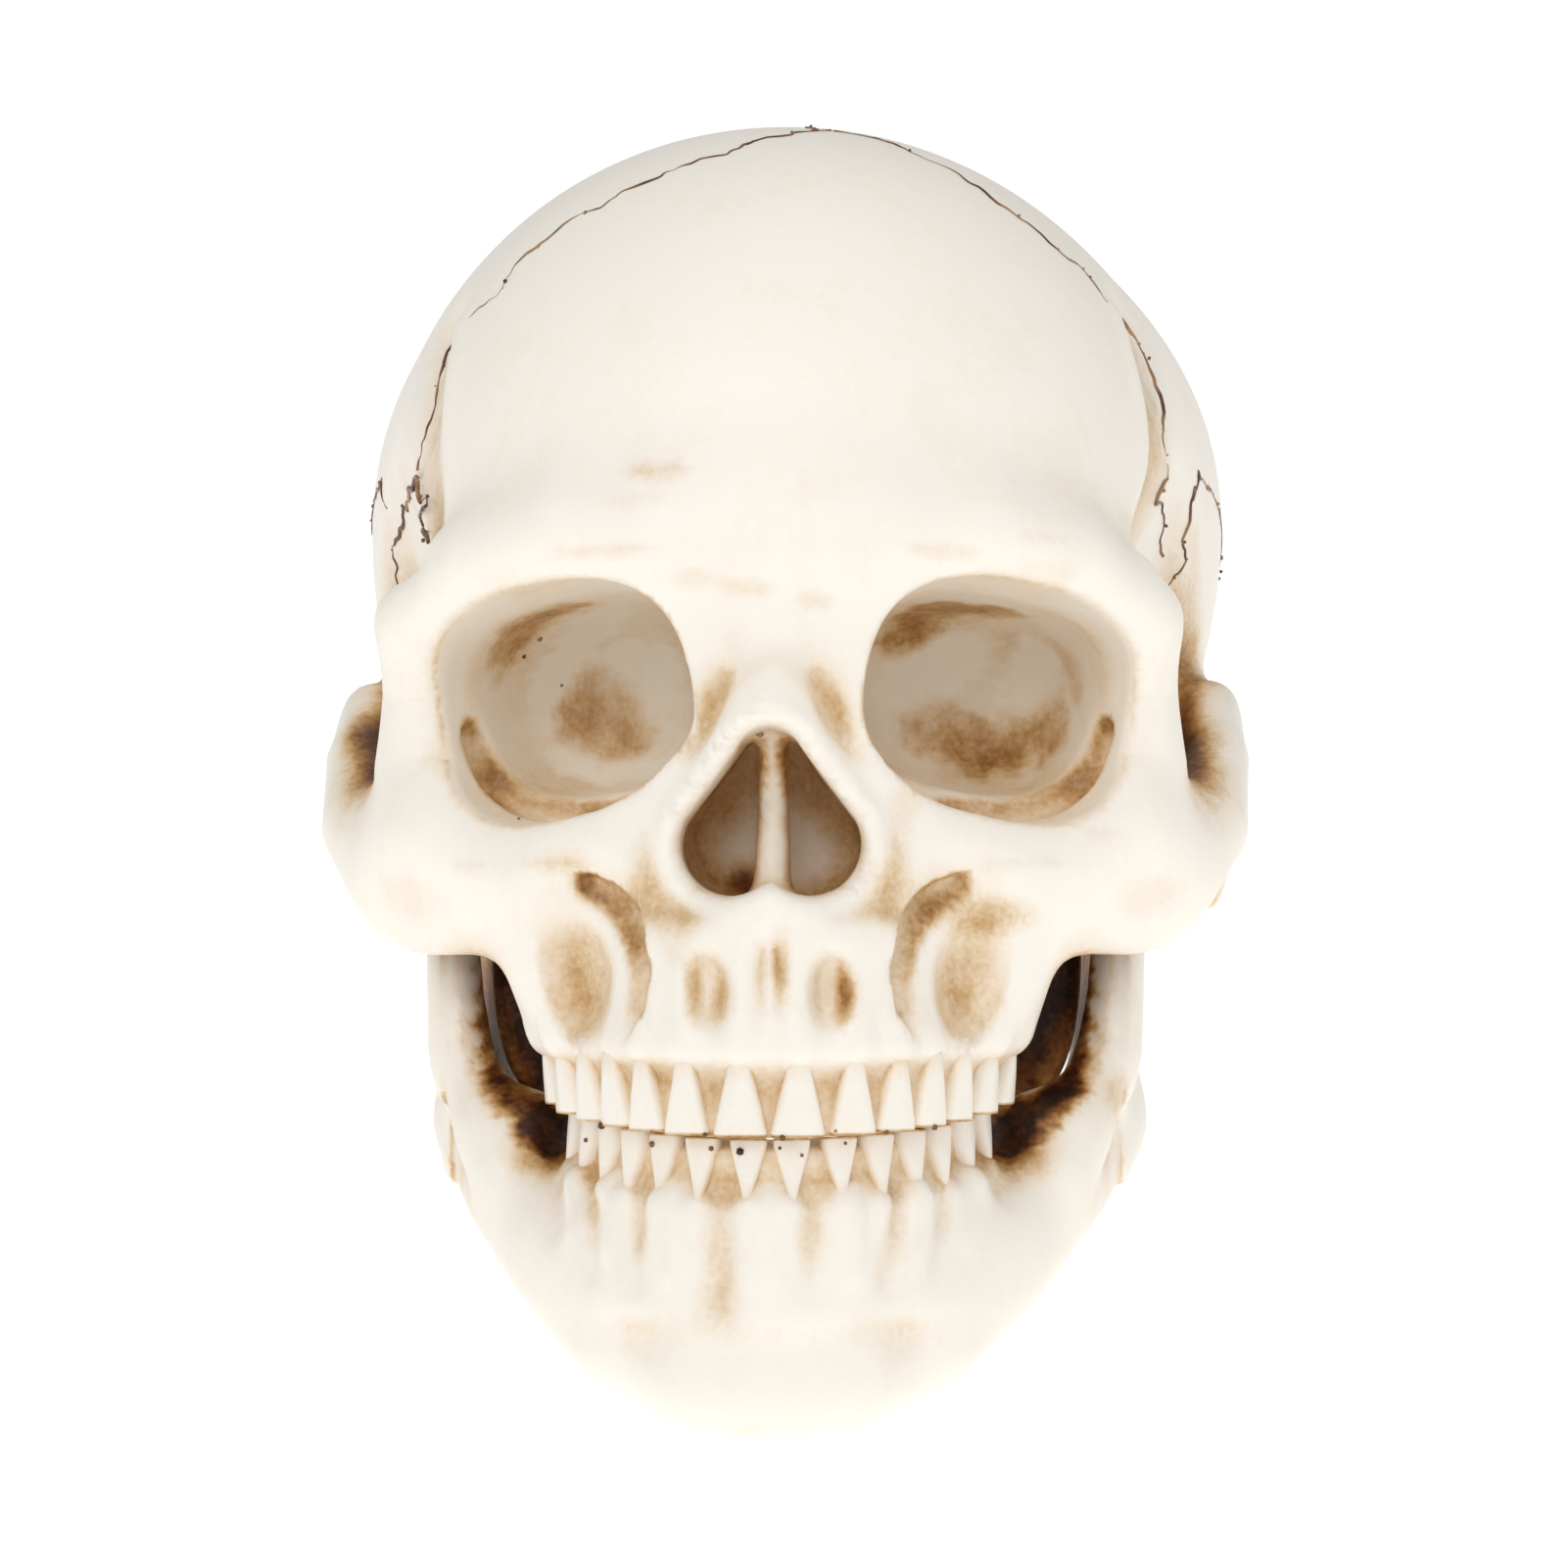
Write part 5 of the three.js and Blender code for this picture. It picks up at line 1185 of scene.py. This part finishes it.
# %% Colours
IVORY = ["#FCF6EB", "#F6E9D7", "#E6CEAC", "#CEA876", "#AA7C47", "#7E5026", "#472412", "#1A100D"]
IVORY_AT = [0.0, 0.14, 0.28, 0.43, 0.58, 0.74, 0.88, 1.0]


def linear(hex_colour):
    """An sRGB hex value as Blender's linear colour."""
    parts = [int(hex_colour[n : n + 2], 16) / 255 for n in (1, 3, 5)]
    return (*[p / 12.92 if p <= 0.04045 else ((p + 0.055) / 1.055) ** 2.4 for p in parts], 1.0)


def new_material(name):
    made = bpy.data.materials.new(name)
    made.use_nodes = True
    made.node_tree.nodes.clear()
    return made, made.node_tree


def ramp(tree, factor, colours, places):
    made = add(tree, "ShaderNodeValToRGB", inputs={"Fac": factor})
    stops = made.color_ramp.elements
    while len(stops) < len(colours):
        stops.new(0.5)
    for stop, colour, place in zip(stops, colours, places):
        stop.position = place
        stop.color = linear(colour)
    return made.outputs["Color"]


def finish_surface(tree, shader):
    out = tree.nodes.new("ShaderNodeOutputMaterial")
    tree.links.new(shader.outputs["BSDF"], out.inputs["Surface"])


def per_mm(size):
    """A noise scale for a pattern of this size in millimetres, on Object coordinates."""
    return 1.0 / (size * MM)


# %% Painted casting resin
# Satin ivory paint, IOR 1.5; the wash in the hollows is a little glossier than the paint.


def washed_and_shaded_resin():
    made, tree = new_material("cast_resin_ivory_washed_and_shaded")
    place = add(tree, "ShaderNodeTexCoord").outputs["Object"]
    # The attribute holds the wash and also painted shade: the gap behind each jaw branch, under the
    # brow, the cheeks and the temples
    wash_and_shade = add(tree, "ShaderNodeAttribute", {"attribute_name": "wash_and_shade"}).outputs["Fac"]
    blot = add(tree, "ShaderNodeTexNoise", inputs={
        "Vector": place, "Scale": per_mm(14), "Detail": 5.0, "Roughness": 0.62}).outputs["Fac"]
    stretched = add(tree, "ShaderNodeMapping", inputs={
        "Vector": place, "Rotation": (0.4, 0.2, 0.5), "Scale": (1.0, 1.0, 0.22)}).outputs[0]
    brush = add(tree, "ShaderNodeTexNoise", inputs={
        "Vector": stretched, "Scale": per_mm(3.2), "Detail": 3.0}).outputs["Fac"]
    grain = add(tree, "ShaderNodeTexNoise", inputs={
        "Vector": place, "Scale": per_mm(0.9), "Detail": 2.0}).outputs["Fac"]
    # Blots, streaks and specks, each with its strength, and each counted from its own middle
    patterns = ((blot, 0.8), (brush, 0.36), (grain, 0.3))
    uneven = -sum(strength for _, strength in patterns) / 2
    for pattern, strength in patterns:
        uneven = add(tree, "ShaderNodeMath", {"operation": "MULTIPLY_ADD"},
                     {0: pattern, 1: strength, 2: uneven}).outputs[0]
    amount = add(tree, "ShaderNodeMapRange", inputs={
        "Value": wash_and_shade, "From Min": 0.0, "From Max": 0.5, "To Min": 0.22, "To Max": 1.0}).outputs[0]
    broken = add(tree, "ShaderNodeMath", {"operation": "MULTIPLY_ADD"},
                 {0: uneven, 1: amount, 2: wash_and_shade}).outputs[0]
    base = ramp(tree, broken, IVORY, IVORY_AT)
    gloss = add(tree, "ShaderNodeMapRange", inputs={
        "Value": broken, "From Min": 0.25, "From Max": 0.85, "To Min": 0.46, "To Max": 0.36})
    fine = add(tree, "ShaderNodeBump", inputs={
        "Height": grain, "Strength": 0.35, "Distance": 0.00012}).outputs[0]
    lumpy = add(tree, "ShaderNodeBump", inputs={
        "Height": brush, "Strength": 0.5, "Distance": 0.00025, "Normal": fine}).outputs[0]
    shader = add(tree, "ShaderNodeBsdfPrincipled", inputs={
        "Base Color": base, "Roughness": gloss.outputs[0], "Normal": lumpy, "IOR": 1.5,
        "Specular IOR Level": 0.45})
    finish_surface(tree, shader)
    return made


def line_wash():
    """The wash caught in a groove: thick, dark and a little glossy."""
    made, tree = new_material("brown_wash_in_grooves")
    place = add(tree, "ShaderNodeTexCoord").outputs["Object"]
    patch = add(tree, "ShaderNodeTexNoise", inputs={
        "Vector": place, "Scale": per_mm(5), "Detail": 4.0}).outputs["Fac"]
    base = ramp(tree, patch, ["#2A1710", "#6A4429", "#A98560"], [0.32, 0.46, 0.62])
    shader = add(tree, "ShaderNodeBsdfPrincipled", inputs={
        "Base Color": base, "Roughness": 0.42, "IOR": 1.5})
    finish_surface(tree, shader)
    return made


def drawn_steel():
    """Steel wire drawn through a die: fine scratches along it."""
    made, tree = new_material("drawn_steel_wire")
    place = add(tree, "ShaderNodeTexCoord").outputs["Object"]
    along = add(tree, "ShaderNodeMapping", inputs={
        "Vector": place, "Scale": (0.04, 1, 1)}).outputs[0]
    lines = add(tree, "ShaderNodeTexNoise", inputs={
        "Vector": along, "Scale": per_mm(0.15), "Detail": 2.0}).outputs["Fac"]
    base = ramp(tree, lines, ["#A9ACAE", "#C9CBCC"], [0.3, 0.7])
    rough = add(tree, "ShaderNodeMapRange", inputs={"Value": lines, "To Min": 0.22, "To Max": 0.42})
    shader = add(tree, "ShaderNodeBsdfPrincipled", inputs={
        "Base Color": base, "Metallic": 1.0, "Roughness": rough.outputs[0]})
    finish_surface(tree, shader)
    return made


def moulded_sleeve():
    """A moulded acetal sleeve: off-white, waxy, faintly mottled."""
    made, tree = new_material("moulded_acetal")
    place = add(tree, "ShaderNodeTexCoord").outputs["Object"]
    mottle = add(tree, "ShaderNodeTexNoise", inputs={
        "Vector": place, "Scale": per_mm(1.5), "Detail": 3.0}).outputs["Fac"]
    base = ramp(tree, mottle, ["#D6D2C6", "#E6E2D8"], [0.35, 0.65])
    bump = add(tree, "ShaderNodeBump", inputs={
        "Height": mottle, "Strength": 0.2, "Distance": 0.00005}).outputs[0]
    shader = add(tree, "ShaderNodeBsdfPrincipled", inputs={
        "Base Color": base, "Roughness": 0.4, "IOR": 1.48, "Normal": bump})
    finish_surface(tree, shader)
    return made


resin = washed_and_shaded_resin()
groove_wash = line_wash()
steel = drawn_steel()
sleeve = moulded_sleeve()
for piece in (skull, jaw, upper_teeth, lower_teeth):
    piece.data.materials.append(resin)
print("materials:", [m.name for m in bpy.data.materials if m.users])

# %% The seams of the braincase
# Waves, each with its length and height
WIDE, EVEN, SHORT = [(4.0, 2.2), (1.5, 0.8)], [(3.2, 0.8), (1.3, 0.5)], [(1.6, 0.5), (0.9, 0.3)]
seams = [suture_path(*seam) for seam in (
    (LEFT_CORONAL, 21, EVEN, 0.24),
    (RIGHT_CORONAL, 27, EVEN, 0.24),
    (LEFT_REAR, 28, SHORT, 0.4),
    (LEFT_FRONT, 29, SHORT, 0.36),
    (RIGHT_REAR, 30, SHORT, 0.4),
    (SAGITTAL, 22, WIDE, 0.22),
    (LAMBDOID, 23, WIDE, 0.22),
    (mirrored(LAMBDOID), 24, WIDE, 0.22),
    (SQUAMOSAL, 25, SHORT, 0.24),
    (mirrored(SQUAMOSAL), 26, SHORT, 0.24),
)]
sutures = grown("sutures", path_mesh("suture_paths", seams), seam_tree(), {
    "Pit size": 0.0004, "Pit spread": 0.0004, "Pits kept": 0.12, "Finish": groove_wash})
print("sutures:", len(sutures.data.polygons), "faces")

# %% Bubbles in the casting
UPPER_BUBBLES = [
    (-36.4, 49, 22.5), (-39.5, 47.5, 20.1), (-33.8, 40.1, 15.8),
    (-37.1, 64.6, -6.3), (-1.5, 88.5, 4.4), (-15.9, 90.5, -49.5),
    (-8.3, 94.4, -49.9), (1.8, 95.7, -50), (8.8, 94.2, -49.1),
    (-23.5, 83.1, -48.9), (15.6, 90.7, -50.1), (22.1, 84.9, -49),
]
BUBBLE_SIZE = 0.00062
LOWER_BUBBLES = [
    (-19.3, 87.8, -51.1), (-7.5, 94.6, -51.7), (0.9, 95.7, -51.4),
    (4.9, 95.3, -52.1), (-4.5, 95.4, -51.6), (11.5, 93.1, -50.6),
    (-28.8, 74.4, -51.3),
]


def nearest_on(pieces, places):
    """The nearest point to each place on any of the pieces."""
    trees = []
    for piece in pieces:
        corners = [corner.co for corner in piece.data.vertices]
        faces = [tuple(face.vertices) for face in piece.data.polygons]
        trees.append(BVHTree.FromPolygons(corners, faces))
    found = []
    for place in stand(places):
        location, *_ = min((tree.find_nearest(place) for tree in trees), key=lambda hit: hit[3])
        found.append(tuple(location))
    return found


def bubble_piece(name, pieces, places):
    base = bpy.data.meshes.new(name + "_places")
    base.from_pydata(nearest_on(pieces, places), [], [])
    return grown(name, base, seam_tree(), {
        "Pit size": BUBBLE_SIZE, "Pit spread": 0.0, "Pits kept": 1.0, "Finish": groove_wash})


upper_bubbles = bubble_piece("bubbles_upper", [skull, upper_teeth], UPPER_BUBBLES)
lower_bubbles = bubble_piece("bubbles_lower", [lower_teeth], LOWER_BUBBLES)
print("bubbles:", len(UPPER_BUBBLES), "and", len(LOWER_BUBBLES))

# %% [markdown]
# ## The hidden hinge
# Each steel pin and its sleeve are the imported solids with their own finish. The pin's outer end
# is hidden by a dab of filler, painted over, so the plug is replaced by a low uneven dome.

# %% Filler dabs, pins and sleeves
DAB_RADIUS, DAB_HEIGHT, DAB_SIDES, DAB_RINGS = 3.4, 0.45, 24, 7
DAB_DEPTH, DAB_EDGE_DEPTH, DAB_CURVE, DAB_SEED = 0.8, 0.03, 2.5, 31
OUT_OF_ROUND, SCALLOPED = 0.06, 0.03  # shares of the radius


def filler_dab(side):
    rng = np.random.default_rng(DAB_SEED + side)
    angles = np.arange(DAB_SIDES) * 2 * math.pi / DAB_SIDES
    edge = 1 + OUT_OF_ROUND * np.sin(2 * angles + rng.uniform(0, 6))
    edge += SCALLOPED * np.sin(5 * angles)
    middle = [LUG[0] + LUG[3], HINGE[1], HINGE[2]]
    rows = [[middle]]
    for n in range(1, DAB_RINGS + 1):
        radius = DAB_RADIUS * (n / DAB_RINGS) * edge
        ring = [0 * angles, radius * np.cos(angles), radius * np.sin(angles)]
        rows.append(np.stack(ring, 1) + middle)
    points = np.concatenate(rows)
    points = slid(outer_cranium, points, reach=4, rounds=4)
    out = outward_of(outer_cranium, points)
    share = np.concatenate([[0], np.repeat(np.arange(1, DAB_RINGS + 1) / DAB_RINGS, DAB_SIDES)])
    top = points + out * (DAB_HEIGHT * (1 - share**DAB_CURVE) - DAB_EDGE_DEPTH)[:, None]
    base = points - out * DAB_DEPTH
    points = np.concatenate([top, base])
    faces, half = [], len(top)
    for n in range(DAB_SIDES):
        m = (n + 1) % DAB_SIDES
        faces.append((0, 1 + n, 1 + m))
        faces.append((half, half + 1 + m, half + 1 + n))
        for k in range(DAB_RINGS - 1):
            a, b = 1 + k * DAB_SIDES + n, 1 + k * DAB_SIDES + m
            faces.append((a, a + DAB_SIDES, b + DAB_SIDES, b))
            faces.append((half + b, half + b + DAB_SIDES, half + a + DAB_SIDES, half + a))
        a, b = 1 + (DAB_RINGS - 1) * DAB_SIDES + n, 1 + (DAB_RINGS - 1) * DAB_SIDES + m
        faces.append((a, half + a, half + b, b))
    points[:, 0] *= side
    name = "filler_dab_" + ("right" if side > 0 else "left")
    dab = mesh_piece(name, points, [face[::side] for face in faces])
    dab.data.materials.append(resin)
    return dab


dabs = {side: filler_dab(side) for side in (-1, 1)}
for word in ("left", "right"):
    for node, finish in (("jaw_pin_", steel), ("condyle_bush_", sleeve)):
        solid = frame["nodes"][node + word]
        solid.data.materials.clear()
        solid.data.materials.append(finish)
print("filler dabs:", [d.name for d in dabs.values()])

# %% [markdown]
# ## What moves with what
# The jaw, its teeth and its bubbles turn with the body called jaw. The cranium, its teeth, sutures,
# bubbles and filler dabs are the skull's.

# %% Bodies and replaced solids
for piece, body, slot in (
    (skull, "skull", "cranium_resin"),
    (upper_teeth, "skull", "cranium_resin"),
    (sutures, "skull", "cranium_resin"),
    (upper_bubbles, "skull", "cranium_resin"),
    (lower_bubbles, "jaw", "mandible_resin"),
    (dabs[-1], "skull", "plug_filler"),
    (dabs[1], "skull", "plug_filler"),
    (jaw, "jaw", "mandible_resin"),
    (lower_teeth, "jaw", "mandible_resin"),
):
    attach(piece, body)
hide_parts("cranium")
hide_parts("mandible")
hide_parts("pin_plug_left")
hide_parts("pin_plug_right")

# %% [markdown]
# ## Studio
# The photograph is a product shot on white: a big soft light in front, another overhead, a small
# fill from the right, and a pale floor that meets the background without a line.

# %% Floor and lights
FLOOR_HALF = 20.0
floor_mesh = bpy.data.meshes.new("floor")
floor_mesh.from_pydata([(x * FLOOR_HALF, y * FLOOR_HALF, 0) for x, y in (
    (-1, -1), (1, -1), (1, 1), (-1, 1))], [], [(0, 1, 2, 3)])
floor = put("floor", floor_mesh)
paper, paper_tree = new_material("white_paper")
finish_surface(paper_tree, add(paper_tree, "ShaderNodeBsdfPrincipled", inputs={
    "Base Color": linear("#CFCFCD"), "Roughness": 0.9, "Emission Color": (1, 1, 1, 1),
    "Emission Strength": 0.74}))
floor.data.materials.append(paper)


def area_light(name, place, aim, size, watts):
    light = bpy.data.lights.new(name, "AREA")
    light.shape = "RECTANGLE"
    light.size, light.size_y = size
    light.energy = watts
    made = put(name, light)
    made.location = place
    made.rotation_euler = (Vector(aim) - Vector(place)).to_track_quat("-Z", "Y").to_euler()


CENTRE = (0, 0, 0.07)
area_light("key", (-0.25, -0.95, 1.0), CENTRE, (1.1, 0.8), 6.5)
area_light("overhead", (0.1, 0.1, 1.2), CENTRE, (0.9, 0.9), 2.5)
area_light("right_fill", (1.1, -0.5, 0.35), CENTRE, (0.6, 0.8), 1.2)
world = bpy.data.worlds.new("white_studio")
world.use_nodes = True
sky = world.node_tree.nodes["Background"]
seen = add(world.node_tree, "ShaderNodeLightPath").outputs["Is Camera Ray"]
strength = add(world.node_tree, "ShaderNodeMapRange", inputs={
    "Value": seen, "To Min": 0.37, "To Max": 1.0}).outputs[0]
sky.inputs["Color"].default_value = (1, 1, 1, 1)
world.node_tree.links.new(strength, sky.inputs["Strength"])
bpy.context.scene.world = world
bpy.context.scene.view_settings.view_transform = "Standard"

# %% [markdown]
# ## Camera
# The photograph was taken from close by. The camera's distance, aim and lens were worked out from
# landmarks in it, with the skull upright, and turned into the frame.

# %% Camera
AIM = np.array([0.0, 40.0, 0.7])
CAMERA_UP, CAMERA_RIGHT = math.radians(-4.0), math.radians(2.1)
DISTANCE, LENS_PX, PHOTO_PX, SENSOR = 480.0, 3262.0, 1601.0, 36.0
back = np.array([
    math.sin(CAMERA_RIGHT) * math.cos(CAMERA_UP),
    math.cos(CAMERA_RIGHT) * math.cos(CAMERA_UP),
    math.sin(CAMERA_UP),
])
right = np.array([math.cos(CAMERA_RIGHT), -math.sin(CAMERA_RIGHT), 0.0])
axis_x, axis_z = TO_FRAME @ right, TO_FRAME @ back
axis_y = np.cross(axis_z, axis_x)
camera = put("camera", bpy.data.cameras.new("camera"))
camera.data.sensor_width = SENSOR
camera.data.lens = SENSOR * LENS_PX / PHOTO_PX
camera.data.clip_start = 0.01
turn = Matrix(np.stack([axis_x, axis_y, axis_z], 1).tolist()).to_4x4()
camera.matrix_world = Matrix.Translation(Vector(stand(AIM + back * DISTANCE))) @ turn
bpy.context.scene.camera = camera
print("camera at", np.round(np.array(camera.matrix_world.translation), 3), "lens", camera.data.lens)
